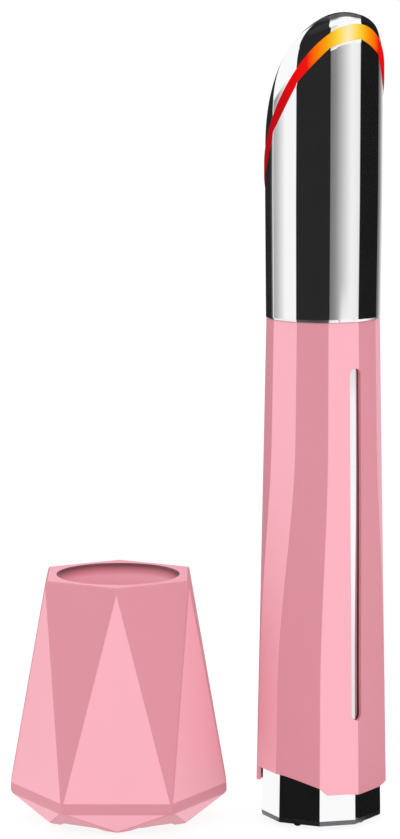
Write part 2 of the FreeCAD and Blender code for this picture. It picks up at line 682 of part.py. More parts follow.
def make_internal_leads():
    """Two leads from the board to the lamp board, two from the switch to the board."""
    middle = BOARD_Y + BOARD_THICKNESS / 2
    leads = []
    for x in UPPER_LEADS:
        end = WAND + V(x, UPPER_LEAD_Y, 0)
        slope = abs(RISE_RIGHT) + abs(RISE_BACK)
        top = plane_height(end) + LED_BOARD_BOTTOM - LEAD_RADIUS * slope
        leads.append(lead([(x, middle, BOARD_TOP), (x, middle, CHASSIS_TOP + UPPER_LEAD_RISE),
                           (x, UPPER_LEAD_Y, BARREL_FLOOR_TOP - UPPER_LEAD_RISE), (x, UPPER_LEAD_Y, top)]))
    for x in LOWER_LEADS:
        leads.append(lead([(x, LOWER_LEAD_Y, SWITCH_TOP), (x, LOWER_LEAD_Y, SWITCH_TOP + LOWER_LEAD_RISE),
                           (x, middle, BOARD_BOTTOM - LOWER_LEAD_DROP), (x, middle, BOARD_BOTTOM)]))
    return group(leads)


# ---- foot -------------------------------------------------------------------------------------
SWITCH_LEFT = SWITCH_CENTRE[0] - SWITCH_SIZE[0] / 2
SWITCH_RIGHT = SWITCH_CENTRE[0] + SWITCH_SIZE[0] / 2
SWITCH_BACK = SWITCH_CENTRE[1] + SWITCH_SIZE[1] / 2
SWITCH_FACE = SWITCH_CENTRE[1] - SWITCH_SIZE[1] / 2
KNOB_X = SWITCH_LEFT + KNOB_WALL + KNOB_CLEARANCE + KNOB_SIZE[0] / 2
PIN_Y = SWITCH_FACE - PIN_RADIUS - PIN_GAP


def neck_block(grow, bottom, top):
    """The part of the switch that passes the end plate."""
    inset = SWITCH_NECK_INSET - grow
    return block((SWITCH_LEFT + inset, SWITCH_FACE - SWITCH_FRONT + inset, bottom),
                 (SWITCH_RIGHT - inset, SWITCH_BACK - inset, top))


def make_end_plate():
    plate = faceted(lambda h: TUBE_FOOT_RADIUS, PLATE_BOTTOM, TUBE_BOTTOM, 2)
    places = foot_screw_places(PLATE_BOTTOM)
    holes = [Part.makeCylinder(PILOT_RADIUS, PLATE_THICKNESS, p, UP) for p in places]
    return plate.cut(group(holes)).cut(neck_block(FIT, PLATE_BOTTOM, TUBE_BOTTOM))


def make_foot_screws():
    """Dome heads below the end plate, each with a hexagon drive."""
    screws = []
    dome = SCREW_HEAD_HEIGHT + SCREW_HEAD_FLAT
    dome_radius = (SCREW_HEAD_RADIUS ** 2 + dome ** 2) / (2 * dome)
    for place in foot_screw_places(PLATE_BOTTOM):
        ball = Part.makeSphere(dome_radius, place + V(0, 0, dome_radius - dome))
        blank = Part.makeCylinder(SCREW_HEAD_RADIUS, SCREW_HEAD_HEIGHT, place, UP * -1)
        shank = Part.makeCylinder(SCREW_SHANK_RADIUS, SCREW_LENGTH, place, UP)
        floor = place - V(0, 0, SCREW_HEAD_HEIGHT)
        corners = [floor + polar(SCREW_DRIVE_RADIUS, i * 60, 0, V()) for i in range(6)]
        drive = Part.Face(closed(corners)).extrude(V(0, 0, SCREW_DRIVE_DEPTH))
        screws.append(ball.common(blank).fuse(shank).cut(drive))
    return group(screws)


def knob_room(bottom, top, size):
    """The channel the knob slides in, from its off end to its on end."""
    half_x, half_y = size[0] / 2 + KNOB_CLEARANCE, size[1] / 2 + KNOB_CLEARANCE
    y = SWITCH_CENTRE[1]
    return block((KNOB_X - half_x, y - half_y, bottom), (KNOB_X + KNOB_TRAVEL + half_x, y + half_y, top))


def pin_cylinders(radius, bottom, top):
    return [cylinder(radius, bottom, top, WAND + V(x, PIN_Y, 0)) for x in PIN_PLACES]


def make_switch_housing():
    bezel = block((SWITCH_LEFT, SWITCH_FACE, SWITCH_BOTTOM), (SWITCH_RIGHT, SWITCH_BACK, PLATE_BOTTOM))
    flange = block((SWITCH_LEFT, SWITCH_FACE - SWITCH_FRONT, PLATE_BOTTOM - SWITCH_FLANGE),
                   (SWITCH_RIGHT, SWITCH_BACK, PLATE_BOTTOM))
    body = fuse([bezel, flange, neck_block(0, PLATE_BOTTOM, SWITCH_TOP)])
    shoe_low = KNOB_SHOE_BOTTOM - KNOB_CLEARANCE
    body = body.cut(knob_room(0, KNOB_TOP + KNOB_CLEARANCE, KNOB_SIZE))
    body = body.cut(knob_room(shoe_low, KNOB_TOP + KNOB_CLEARANCE, KNOB_SHOE))
    return body.cut(group(pin_cylinders(PIN_RADIUS, 0, SWITCH_TOP)))


def make_switch_knob():
    y = SWITCH_CENTRE[1]
    half = KNOB_SIZE[0] / 2
    grip = block((KNOB_X - half, y - KNOB_SIZE[1] / 2, KNOB_BOTTOM),
                 (KNOB_X + half, y + KNOB_SIZE[1] / 2, KNOB_TOP))
    shoe = block((KNOB_X - half, y - KNOB_SHOE[1] / 2, KNOB_SHOE_BOTTOM),
                 (KNOB_X + half, y + KNOB_SHOE[1] / 2, KNOB_TOP))
    return fuse([grip, shoe])


def make_charging_pins():
    return group(pin_cylinders(PIN_RADIUS, PIN_BOTTOM, PIN_TOP))


# ---- stand ------------------------------------------------------------------------------------
SHELL_BOTTOM = FOOT_PAD_THICKNESS
BASE_TOP = SHELL_BOTTOM + STAND_BASE_THICKNESS
SOCKET_BOTTOM = STAND_HEIGHT - SOCKET_DEPTH
RECESS_BOTTOM = SOCKET_BOTTOM - SOCKET_PAD_THICKNESS


def hexagon(radius, height, first):
    return ring_of_points(STAND_SIDES, first, radius, height, STAND)


def gem(inset, bottom):
    """The stand's faceted body: hexagons turned by half a side against each other, joined by
    triangles, with an upright band at the waist. Inset makes the smaller one for the hollow."""
    side = 180 / STAND_SIDES
    low = hexagon(STAND_FOOT_RADIUS - inset, bottom, 0)
    band_low = hexagon(STAND_WAIST_RADIUS - inset * WAIST_SHARE, STAND_WAIST_BOTTOM, side)
    band_high = hexagon(STAND_WAIST_RADIUS - inset * WAIST_SHARE, STAND_WAIST_TOP, side)
    top = hexagon(STAND_TOP_RADIUS - inset, STAND_HEIGHT, 0)
    faces = [low, top]
    for i in range(STAND_SIDES):
        j = (i + 1) % STAND_SIDES
        faces.append([low[i], low[j], band_low[i]])
        faces.append([band_low[i], band_low[j], low[j]])
        faces.append([band_low[i], band_low[j], band_high[j], band_high[i]])
        faces.append([band_high[i], band_high[j], top[j]])
        faces.append([top[i], top[j], band_high[i]])
    return solid_of(faces)


def pillar_places(height):
    return ring_of_points(PILLAR_COUNT, 0, PILLAR_CIRCLE, height, STAND)


def pillars(radius, bottom, top):
    return [Part.makeCylinder(radius, top - bottom, p, UP) for p in pillar_places(bottom)]


def make_stand_shell():
    outer = gem(0, SHELL_BOTTOM)
    below = Part.makeBox(2 * REACH, 2 * REACH, STAND_CAVITY_TOP, STAND - V(REACH, REACH, 0))
    hollow = gem(STAND_WALL, SHELL_BOTTOM).common(below)
    wall_radius = SOCKET_RADIUS + SOCKET_WALL
    well = cylinder(wall_radius, RECESS_BOTTOM - SOCKET_FLOOR, STAND_CAVITY_TOP, STAND)
    posts = pillars(PILLAR_RADIUS, BASE_TOP, RECESS_BOTTOM)
    shell = outer.cut(hollow.cut(well)).fuse(posts)
    opening = Part.Face(closed(hexagon(STAND_OPENING_RADIUS, SHELL_BOTTOM - CLEAR, 0)))
    shell = shell.cut(opening.extrude(V(0, 0, BASE_TOP - SHELL_BOTTOM + CLEAR)))
    socket = cylinder(SOCKET_RADIUS, SOCKET_BOTTOM, STAND_HEIGHT, STAND)
    recess_radius = SOCKET_PAD_RADIUS + SOCKET_PAD_GAP
    recess = cylinder(recess_radius, RECESS_BOTTOM, SOCKET_BOTTOM, STAND)
    mouth = Part.makeCone(SOCKET_RADIUS, SOCKET_RADIUS + SOCKET_CHAMFER, SOCKET_CHAMFER,
                          STAND + V(0, 0, STAND_HEIGHT - SOCKET_CHAMFER), UP)
    depth = BASE_TOP - SHELL_BOTTOM + STAND_SCREW_LENGTH
    holes = pillars(STAND_SCREW_RADIUS, BASE_TOP, SHELL_BOTTOM + depth + STAND_PILOT_ROOM)
    return shell.cut(socket).cut(recess).cut(mouth).cut(group(holes))


def make_stand_base():
    outline = Part.Face(closed(hexagon(STAND_OPENING_RADIUS - FIT, SHELL_BOTTOM, 0)))
    plate = outline.extrude(V(0, 0, STAND_BASE_THICKNESS))
    holes = pillars(STAND_SCREW_RADIUS + STAND_SCREW_CLEARANCE, SHELL_BOTTOM, BASE_TOP)
    recess = STAND_SCREW_HEAD_RADIUS + STAND_SCREW_CLEARANCE
    recesses = pillars(recess, SHELL_BOTTOM, SHELL_BOTTOM + STAND_SCREW_HEAD)
    return plate.cut(group(holes)).cut(group(recesses))


def make_stand_screws():
    long, wide, deep = STAND_DRIVE
    screws = []
    for place in pillar_places(SHELL_BOTTOM):
        head = Part.makeCylinder(STAND_SCREW_HEAD_RADIUS, STAND_SCREW_HEAD, place, UP)
        start = place + V(0, 0, STAND_SCREW_HEAD)
        shank = Part.makeCylinder(STAND_SCREW_RADIUS - FIT, STAND_SCREW_LENGTH, start, UP)
        slots = [Part.makeBox(long, wide, deep, place - V(long / 2, wide / 2, 0)),
                 Part.makeBox(wide, long, deep, place - V(wide / 2, long / 2, 0))]
        screws.append(head.fuse(shank).cut(group(slots)))
    return group(screws)


def make_stand_ballast():
    disc = cylinder(BALLAST_RADIUS, BASE_TOP, BASE_TOP + BALLAST_HEIGHT, STAND)
    holes = pillars(PILLAR_RADIUS + BALLAST_CLEARANCE, BASE_TOP, BASE_TOP + BALLAST_HEIGHT)
    return disc.cut(group(holes))


def make_stand_foot_pad():
    return cylinder(FOOT_PAD_RADIUS, 0, FOOT_PAD_THICKNESS, STAND)


def make_socket_pad():
    return cylinder(SOCKET_PAD_RADIUS, RECESS_BOTTOM, SOCKET_BOTTOM, STAND)


NODES = {
    "massage_head": make_massage_head,
    "light_ring": make_light_ring,
    "head_barrel": make_head_barrel,
    "barrel_collar": make_barrel_collar,
    "handle_tube": make_handle_tube,
    "handle_sleeve": make_handle_sleeve,
    "end_plate": make_end_plate,
    "foot_screws": make_foot_screws,
    "switch_housing": make_switch_housing,
    "switch_knob": make_switch_knob,
    "charging_pins": make_charging_pins,
    "heater_film": make_heater_film,
    "temperature_sensor": make_temperature_sensor,
    "led_board": make_led_board,
    "led_lamps": make_led_lamps,
    "motor_mount": make_motor_mount,
    "motor_case": make_motor_case,
    "motor_end_cap": make_motor_end_cap,
    "motor_shaft": make_motor_shaft,
    "eccentric_weight": make_eccentric_weight,
    "chassis": make_chassis,
    "battery_cell": make_battery_cell,
    "battery_tabs": make_battery_tabs,
    "circuit_board": make_circuit_board,
    "board_components": make_board_components,
    "internal_leads": make_internal_leads,
    "stand_shell": make_stand_shell,
    "stand_base": make_stand_base,
    "stand_ballast": make_stand_ballast,
    "stand_foot_pad": make_stand_foot_pad,
    "stand_screws": make_stand_screws,
    "socket_pad": make_socket_pad,
}


def main():
    os.makedirs(PARTS, exist_ok=True)
    for name, make in NODES.items():
        make().exportStep(os.path.join(PARTS, name + ".step"))


main()
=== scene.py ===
"""Heated eye massager wand with its faceted stand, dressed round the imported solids.

The chromed barrel, the crowned tip, the glowing ring, the pink sleeve and the stand's body are built
here with rounded edges and slightly crowned facets. The other solids stay and get their finish,
and the tube, the foot's plate and the switch get softer edges.
All lengths are in metres; the wand and the stand stand on z = 0.
"""
import functools
import math

import bmesh
import bpy
import numpy as np
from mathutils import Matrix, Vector
from mathutils.bvhtree import BVHTree


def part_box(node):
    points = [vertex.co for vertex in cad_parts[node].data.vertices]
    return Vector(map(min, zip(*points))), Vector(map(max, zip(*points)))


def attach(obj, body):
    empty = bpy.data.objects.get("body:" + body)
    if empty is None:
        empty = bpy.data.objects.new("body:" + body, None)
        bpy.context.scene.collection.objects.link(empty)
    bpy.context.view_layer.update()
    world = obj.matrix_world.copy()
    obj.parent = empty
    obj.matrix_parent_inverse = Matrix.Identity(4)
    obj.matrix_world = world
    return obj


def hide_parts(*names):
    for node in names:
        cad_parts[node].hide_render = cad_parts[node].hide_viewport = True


bl_info = {
    "name": "Heated eye massager wand",
    "version": (1, 0, 0),
    "blender": (4, 5, 0),
    "location": "View3D > Sidebar > Massager",
    "description": "Builds a faceted eye massager wand, its stand and a small studio",
    "category": "Object",
}

MM = 0.001

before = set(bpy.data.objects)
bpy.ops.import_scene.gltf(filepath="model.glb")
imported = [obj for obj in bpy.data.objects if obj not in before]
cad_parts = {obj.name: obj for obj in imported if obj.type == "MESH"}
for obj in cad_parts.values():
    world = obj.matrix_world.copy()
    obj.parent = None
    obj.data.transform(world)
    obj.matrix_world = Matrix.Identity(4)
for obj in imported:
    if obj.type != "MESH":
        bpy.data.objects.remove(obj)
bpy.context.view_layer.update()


def low(node):
    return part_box(node)[0]


def high(node):
    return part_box(node)[1]


def axis_of(node):
    """The upright axis through the middle of a solid, as a point on the floor."""
    middle = (low(node) + high(node)) / 2
    return Vector((middle.x, middle.y, 0))


# ---- places taken from the solids ----
WAND = axis_of("barrel_collar")
STAND = axis_of("socket_pad")
SEAM = high("barrel_collar").z
FLOOR_TOP = low("motor_mount").z          # upper face of the barrel's floor
NECK_BOTTOM = low("head_barrel").z
STAND_TOP = high("stand_shell").z
STAND_BOTTOM = low("stand_shell").z
PAD_BOTTOM = low("socket_pad").z
SOCKET_BOTTOM = high("socket_pad").z
PAD_RADIUS = (high("socket_pad").x - low("socket_pad").x) / 2

# ---- facets: six of the twelve corners, in degrees from the front, to the right positive ----
HEAD_CORNERS = (-88.0, -61.0, -29.0, 3.5, 36.0, 64.0)
FOOT_CORNERS = (-90.0, -82.0, -46.0, -3.0, 33.0, 82.0)
TURN_TOP = 67.0 * MM          # height where the corners start to wander
TURN_BOTTOM = 24.0 * MM       # height where they have arrived
CORNERS = 12
ARC_STEPS = 4                 # steps round each softened corner
SIDE_STEPS = 6                # steps along each facet
PER_SIDE = ARC_STEPS + SIDE_STEPS   # points of a section from one corner to the next
SLOT_CORNER = 4               # the corner that the slot is cut along

# ---- sleeve ----
SLEEVE_TOP_RADIUS = 9.72 * MM
SLEEVE_FOOT_RADIUS = 11.2 * MM
SLEEVE_WALL = 0.75 * MM
SKIRT_END = 7.0 * MM          # height where the skirt's wave meets its step
WAVE_X = (-7.5 * MM, -0.75 * MM, 6.0 * MM, 13.2 * MM)    # points of the skirt's front wave
WAVE_Z = (9.3 * MM, 7.508 * MM, 6.1 * MM, 7.3 * MM)
SLOT_TURN = math.radians(33.0)
SLOT_WIDTH = 2.05 * MM
SLOT_HALF = SLOT_WIDTH / 2
SLOT_BOTTOM = 19.0 * MM
SLOT_TOP = 79.4 * MM
SLOT_LOW = SLOT_BOTTOM + SLOT_HALF    # ends of the slot's straight sides
SLOT_HIGH = SLOT_TOP - SLOT_HALF
RIDGE_LIMIT = 0.9             # share of the slot's half width that its ridge stays within

# ---- the grid that both skins of the sleeve share ----
SLOT_MARGIN = 0.8 * MM        # plain strip beside the slot before the next column
SLOT_COLUMNS = 6              # columns from the slot's middle to its side
MARGIN_COLUMNS = 4            # columns from that strip to the next corner
BELOW_ROWS, BESIDE_ROWS, ABOVE_ROWS = 14, 24, 7
SLOT_ROWS = (BELOW_ROWS, BELOW_ROWS + BESIDE_ROWS)
LAST_ROW = SLOT_ROWS[1] + ABOVE_ROWS
SKIRT_BESIDE_SLOT = 1.6 * MM  # place across the slot where the columns beside it meet the skirt
SKIRT_SLOT_STEP = 0.25 * MM   # and the step between those that meet it under the slot

# ---- oblique plane of the ring, and the head ----
RING_TOP = 121.6 * MM
RISE_RIGHT = 0.755            # slope of that plane to the right, and to the back
RISE_BACK = -1.37
RING_HEIGHT = 2.3 * MM
RING_RADIUS = 10.15 * MM
RING_ROWS = 4
RING_LIP = 1.6 * MM
SPIGOT_RADIUS = 7.45 * MM
PUSH_FIT = 0.05 * MM
BARREL_SEAM_RADIUS = 9.8 * MM
BARREL_FULL_HEIGHT = 108.0 * MM     # from here up the barrel no longer widens
HEAD_RADIUS = 10.0 * MM
BARREL_BORE = 8.4 * MM
BARREL_LOWER_BORE = 7.9 * MM
LEDGE_DROP = 7.52 * MM        # lamp board's ledge below the ring's plane
NECK_RADIUS = 6.5 * MM
NECK_BORE = 5.7 * MM
BARREL_ROWS = 14
BARREL_EDGE_ROW = 0.012       # share of the barrel's height up to a narrow row at each end
CROWN_ENDS = (0.6 * MM, 5.8 * MM)   # ends of the tip's short top edge, to the right of the axis
CROWN_CORNER_ENDS = (0, 0, 0, 0, 1, 1, 1, 1, 1, 0, 0, 0)   # the end that each corner runs up to
CROWN_FRONT = 4.8 * MM        # top edge in front of the axis
CROWN_HEIGHT = 17.55 * MM
CROWN_SIDE_POWER = 1.22       # powers of the ellipse that each column follows
CROWN_RISE_POWER = 2.78
CROWN_ROWS = 30
CROWN_SPREAD = 1.6            # above 1, rows lie closer near the ring
CROWN_TIP = 0.01              # share of the section that is left at the top row
CROWN_SAG = 0.45 * MM         # how far the top edge's ends lie below its middle
CAVITY_RADIUS = 6.45 * MM
CAVITY_SHARES = (1.0, 0.95, 0.85, 0.7, 0.55, 0.4, 0.2, 0.0)   # rows of the cavity's roof
HEAD_WALL = 1.4 * MM

# ---- stand ----
STAND_SIDES = 6
STAND_TOP_RADIUS = 14.1 * MM
STAND_FOOT_RADIUS = 13.4 * MM
STAND_WAIST_RADIUS = 18.8 * MM
STAND_WAIST_BOTTOM = 4.4 * MM
STAND_WAIST_TOP = 5.85 * MM
STAND_ARC_STEPS = 3           # steps across each rounded edge
STAND_WALL = 1.9 * MM
STAND_WAIST_WALL = 1.2        # times that wall, because the sides slope at the waist
STAND_CAVITY_TOP = 30.0 * MM
CUTTER_OVER = 10.0 * MM       # how far a cutter reaches past what it cuts
CUTTER_RADIUS = 30.0 * MM     # wider than the stand
SOCKET_RADIUS = 10.3 * MM
SOCKET_WALL = 1.4 * MM
SOCKET_FLOOR = 2.0 * MM
MOUTH = 0.3 * MM              # radius of the socket's rounded mouth
MOUTH_STEPS = 4
SOCKET_SHADE = 3.6 * MM       # stretch of the socket's wall under the mouth that has painted shade
PAD_GAP = 0.1 * MM
CIRCLE_STEPS = 96

# rounded edges of solids that stay: width, steps, and the angle from which an edge is rounded
SOFT_EDGES = (("handle_tube", 0.15 * MM, 3, 22.0), ("end_plate", 0.12 * MM, 2, 40.0),
              ("switch_housing", 0.08 * MM, 2, 40.0), ("switch_knob", 0.08 * MM, 2, 40.0))

MERGE_DISTANCE = 0.001 * MM   # points nearer than this are one
WELD_DISTANCE = 0.0005 * MM


# ---- small helpers ----
def blend(start, end, share):
    return start + (end - start) * share


def arch(share):
    """0 at both ends of a stretch and 1 in its middle."""
    return 4 * share * (1 - share)


def linear(hex_colour):
    """An sRGB colour written as RRGGBB, as the linear values that a shader takes."""
    parts = [int(hex_colour[i:i + 2], 16) / 255 for i in (0, 2, 4)]
    return [c / 12.92 if c <= 0.04045 else ((c + 0.055) / 1.055) ** 2.4 for c in parts]


def rgba(hex_colour):
    return (*linear(hex_colour), 1.0)


def settings():
    return bpy.context.scene.massager


def mesh_object(name, points, faces):
    """A new mesh object, with points that coincide joined and faces turned outward."""
    mesh = bpy.data.meshes.new(name)
    mesh.from_pydata([tuple(p) for p in points], [], faces)
    work = bmesh.new()
    work.from_mesh(mesh)
    bmesh.ops.remove_doubles(work, verts=work.verts, dist=MERGE_DISTANCE)
    bmesh.ops.recalc_face_normals(work, faces=work.faces)
    work.to_mesh(mesh)
    work.free()
    piece = bpy.data.objects.new(name, mesh)
    bpy.context.scene.collection.objects.link(piece)
    return piece


def smooth(piece, hard_angle=35.0):
    """Smooth shading with edges kept hard above an angle, and flats kept flat beside small curves."""
    mesh = piece.data
    mesh.shade_smooth()
    mesh.set_sharp_from_angle(angle=math.radians(hard_angle))
    weighted = piece.modifiers.new("flats stay flat", "WEIGHTED_NORMAL")
    weighted.keep_sharp = True
    weighted.weight = 80


def soften(node, width, segments, from_angle):
    """Small rounded edges on a solid that stays as it is, at edges sharper than an angle."""
    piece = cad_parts[node]
    weld = piece.modifiers.new("join points", "WELD")
    weld.merge_threshold = WELD_DISTANCE
    bevel = piece.modifiers.new("soft edges", "BEVEL")
    bevel.width = width
    bevel.segments = segments
    bevel.limit_method = "ANGLE"
    bevel.angle_limit = math.radians(from_angle)
    bevel.harden_normals = False
    weighted = piece.modifiers.new("flats stay flat", "WEIGHTED_NORMAL")
    weighted.keep_sharp = True


def dress(piece, *materials):
    """Give a piece its materials in place of those it came with."""
    piece.data.materials.clear()
    for material in materials:
        piece.data.materials.append(material)


def dress_solids(finishes):
    """Give solids that stay as they are their materials, by node."""
    for node, material in finishes.items():
        dress(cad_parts[node], material)


def ring_faces(rings, closed=False):
    """Faces between each ring of point numbers and the next; a ring of one point is a pole."""
    faces = []
    for near, far in zip(rings, rings[1:] + rings[:1] if closed else rings[1:]):
        count = max(len(near), len(far))
        for i in range(count):
            j = (i + 1) % count
            if len(far) == 1:
                faces.append((near[i], near[j], far[0]))
            elif len(near) == 1:
                faces.append((near[0], far[j], far[i]))
            else:
                faces.append((near[i], near[j], far[j], far[i]))
    return faces


def surface(rings, closed=False):
    """Points and faces of the surface through rings that all have as many columns, or are poles."""
    points, numbers = [], []
    for ring in rings:
        numbers.append(list(range(len(points), len(points) + len(ring))))
        points += ring
    return points, ring_faces(numbers, closed)


def lathe(name, rings, closed=True):
    """A piece from rings of points, closed on itself or by poles."""
    return mesh_object(name, *surface(rings, closed))


# ---- the wand's faceted sections ----
def corner_turns(height):
    """Directions of the section's twelve corners at a height."""
    share = min(1.0, max(0.0, (TURN_TOP - height) / (TURN_TOP - TURN_BOTTOM)))
    share = share * share * (3 - 2 * share)     # starts and ends gently
    half = [blend(top, foot, share) for top, foot in zip(HEAD_CORNERS, FOOT_CORNERS)]
    return [math.radians(turn) for turn in half + [turn + 180 for turn in half]]


def direction(turn):
    """Sideways direction at a turn from the front, to the right positive."""
    return Vector((math.sin(turn), -math.cos(turn)))


def outline(radius, height, round_by, crown_by):
    """The section as points round the axis: softened corners, and sides that swell a little."""
    corners = [direction(turn) * radius for turn in corner_turns(height)]
    points = []
    for i, corner in enumerate(corners):
        after = corners[(i + 1) % len(corners)]
        start = corner + (corners[i - 1] - corner).normalized() * round_by
        end = corner + (after - corner).normalized() * round_by
        for k in range(ARC_STEPS + 1):
            s = k / ARC_STEPS
            points.append(start * (1 - s) ** 2 + corner * (2 * s * (1 - s)) + end * s ** 2)
        along = (after - corner).normalized()
        outward = Vector((along.y, -along.x))
        side_end = after - along * round_by
        for k in range(1, SIDE_STEPS):
            s = k / SIDE_STEPS
            points.append(blend(end, side_end, s) + outward * (crown_by * arch(s)))
    return points


def circle(radius, steps=CIRCLE_STEPS, first=0.0):
    """Points round an axis, the first of them at a turn from the front."""
    return [direction(first + 2 * math.pi * i / steps) * radius for i in range(steps)]


def circle_like(points, radius):
    """A circle with its points in the same directions as an outline's."""
    return [p.normalized() * radius for p in points]


def facet_of(point):
    """Number of the facet that a point of the wand lies on."""
    turn = math.atan2(point.x - WAND.x, -(point.y - WAND.y))
    turns = corner_turns(point.z)
    turn = turns[0] + (turn - turns[0]) % (2 * math.pi)
    return sum(corner <= turn for corner in turns) - 1


def paint_facet_shade(piece):
    """Alternate facets take the piece's first and second material: the pink with painted shade, and the
    pink itself.
    """
    for face in piece.data.polygons:
        face.material_index = facet_of(face.center) % 2


def plane_height(point):
    """Height of the ring's upper face above or below a point given from the wand's axis."""
    return RING_TOP + RISE_RIGHT * point.x + RISE_BACK * point.y


def at(flat, height):
    """A point given from the wand's axis, at a height."""
    return Vector((WAND.x + flat.x, WAND.y + flat.y, height))


def on_plane(flat_points, above=0.0):
    return [at(p, plane_height(p) + above) for p in flat_points]


def level(flat_points, height):
    return [at(p, height) for p in flat_points]


def quarter(steps=3):
    """Cosine and sine pairs from 0 to 90 degrees."""
    turns = [math.pi / 2 * k / steps for k in range(steps + 1)]
    return [(math.cos(t), math.sin(t)) for t in turns]


# ---- materials ----
def add_node(tree, kind, sockets=None, **options):
    """Add a node, set its options, and give its sockets values or other nodes' outputs."""
    node = tree.nodes.new(kind)
    for name, value in options.items():
        setattr(node, name, value)
    for name, value in (sockets or {}).items():
        if isinstance(value, bpy.types.NodeSocket):
            tree.links.new(value, node.inputs[name])
        else:
            node.inputs[name].default_value = value
    return node


def new_material(name):
    material = bpy.data.materials.new(name)
    material.use_nodes = True
    material.node_tree.nodes.clear()
    return material, material.node_tree


def set_stops(ramp, stops):
    """Give a colour ramp its stops: pairs of position and colour, from low to high."""
    elements = ramp.color_ramp.elements
    while len(elements) < len(stops):
        elements.new(1.0)
    for element, (position, colour) in zip(elements, stops):
        element.position = position
        element.color = colour


def grain(tree, size, detail=2.0):
    """Soft noise whose blobs are about as large as the size given."""
    place = add_node(tree, "ShaderNodeTexCoord")
    return add_node(tree, "ShaderNodeTexNoise",
                    {"Vector": place.outputs["Object"], "Scale": 1 / size, "Detail": detail})


def lay_surface(tree, sockets, pattern=None, strength=0.0, depth=0.0):
    """The material's shader and output, with bumps where a pattern is given for their height."""
    if pattern:
        bump = add_node(tree, "ShaderNodeBump", {"Strength": strength, "Distance": depth,
                                                 "Height": pattern.outputs["Fac"]})
        sockets = {**sockets, "Normal": bump.outputs["Normal"]}
    shader = add_node(tree, "ShaderNodeBsdfPrincipled", sockets)
    add_node(tree, "ShaderNodeOutputMaterial", {"Surface": shader.outputs[0]})


def from_wand_axis(tree):
    """Where a point lies from the foot of the wand's axis."""
    place = add_node(tree, "ShaderNodeTexCoord")
    return add_node(tree, "ShaderNodeVectorMath",
                    {0: place.outputs["Object"], 1: WAND}, operation="SUBTRACT")


LACQUER_CLOUD = 9 * MM        # slow change of tint over a sprayed or moulded surface
LACQUER_MOTTLE = 0.03         # how much deeper its darkest places are
ORANGE_PEEL = 0.7 * MM        # ripple of a thin sprayed coat
PLATE_HAZE = 4 * MM           # patches of duller and brighter plate
POLISH_WAVE = 14 * MM         # waves that polishing leaves in zinc
SPARK_GRAIN = 1.2 * MM        # really some 0.03 mm, drawn coarser so that it shows
WORKING_MARKS = 0.6 * MM      # really some 0.05 mm, drawn coarser so that they show


@functools.cache
def lacquered_plastic(name, colour, roughness=0.38):
    """Satin ABS, moulded or sprayed with lacquer: an even colour with a hint of orange peel."""
    material, tree = new_material(name)
    cloud = grain(tree, LACQUER_CLOUD)
    deeper = [c * (1 - LACQUER_MOTTLE) for c in colour[:3]] + [1.0]
    tint = add_node(tree, "ShaderNodeMix", {0: cloud.outputs["Fac"], 6: colour, 7: deeper},
                    data_type="RGBA")
    peel = grain(tree, ORANGE_PEEL, 1.0)
    lay_surface(tree, {"Base Color": tint.outputs[2], "Roughness": roughness,
                       "Specular IOR Level": 0.3}, peel, strength=0.04, depth=0.05 * MM)
    return material


@functools.cache
def bright_chrome():
    """Chromium plate on polished zinc: a mirror with a barely uneven polish."""
    material, tree = new_material("chrome plate on polished zinc")
    haze = grain(tree, PLATE_HAZE)
    roughness = add_node(tree, "ShaderNodeMapRange",
                         {"Value": haze.outputs["Fac"], "To Min": 0.035, "To Max": 0.075})
    polish = grain(tree, POLISH_WAVE, 0.0)
    lay_surface(tree, {"Base Color": tuple(settings().chrome) + (1.0,), "Metallic": 1.0,
                       "Roughness": roughness.outputs["Result"]},
                polish, strength=0.06, depth=0.2 * MM)
    return material


GLOW_HIGHLIGHT_TURN = 21.5              # middle of the painted highlight on the ring's glow, in degrees from the front
# the glow's colour by degrees from there: the red is the ring's own light, the pale yellow and orange near
# the middle are a painted highlight
GLOW = ((0, "FFECB8"), (9, "FEDC50"), (16, "FCBE22"), (22, "FB9E10"), (33, "FC6A0A"),
        (40, "F01810"), (54, "E80C10"), (66, "CC1018"), (92, "B40E18"), (180, "A80E18"))
GLOW_STRENGTH = 0.88
UNLIT_DARKENING = 0.9         # keeps the studio's light from paling the glow


@functools.cache
def lit_polycarbonate():
    """Lit light guide of moulded polycarbonate: its own red glow, dark red at its ends, with a painted
    highlight that is pale yellow in the middle.
    """
    material, tree = new_material("polycarbonate light guide with painted highlight")
    from_axis = from_wand_axis(tree)
    flat = add_node(tree, "ShaderNodeVectorMath",
                    {0: from_axis.outputs[0], 1: (1.0, 1.0, 0.0)}, operation="MULTIPLY")
    unit = add_node(tree, "ShaderNodeVectorMath", {0: flat.outputs[0]}, operation="NORMALIZE")
    # middle of the painted highlight on the glow
    highlight_middle = direction(math.radians(GLOW_HIGHLIGHT_TURN)).to_3d()
    nearness = add_node(tree, "ShaderNodeVectorMath",
                        {0: unit.outputs[0], 1: highlight_middle}, operation="DOT_PRODUCT")
    turn = add_node(tree, "ShaderNodeMath", {0: nearness.outputs["Value"]}, operation="ARCCOSINE")
    share = add_node(tree, "ShaderNodeMath", {0: turn.outputs[0], 1: math.pi}, operation="DIVIDE")
    ramp = add_node(tree, "ShaderNodeValToRGB", {"Fac": share.outputs[0]})
    set_stops(ramp, [(degrees / 180, rgba(colour)) for degrees, colour in GLOW])
    unlit = add_node(tree, "ShaderNodeMix", {0: UNLIT_DARKENING, 6: ramp.outputs["Color"],
                                             7: rgba("000000")}, data_type="RGBA")
    lay_surface(tree, {"Base Color": unlit.outputs[2], "Roughness": 0.3,
                       "Specular IOR Level": 0.0, "Emission Color": ramp.outputs["Color"],
                       "Emission Strength": GLOW_STRENGTH})
    return material


@functools.cache
def plain_plastic(name, colour, roughness=0.5):
    """Moulded plastic or rubber: dull, with the fine grain of a spark-eroded mould."""
    material, tree = new_material(name)
    lay_surface(tree, {"Base Color": colour, "Roughness": roughness},
                grain(tree, SPARK_GRAIN), strength=0.15, depth=0.05 * MM)
    return material


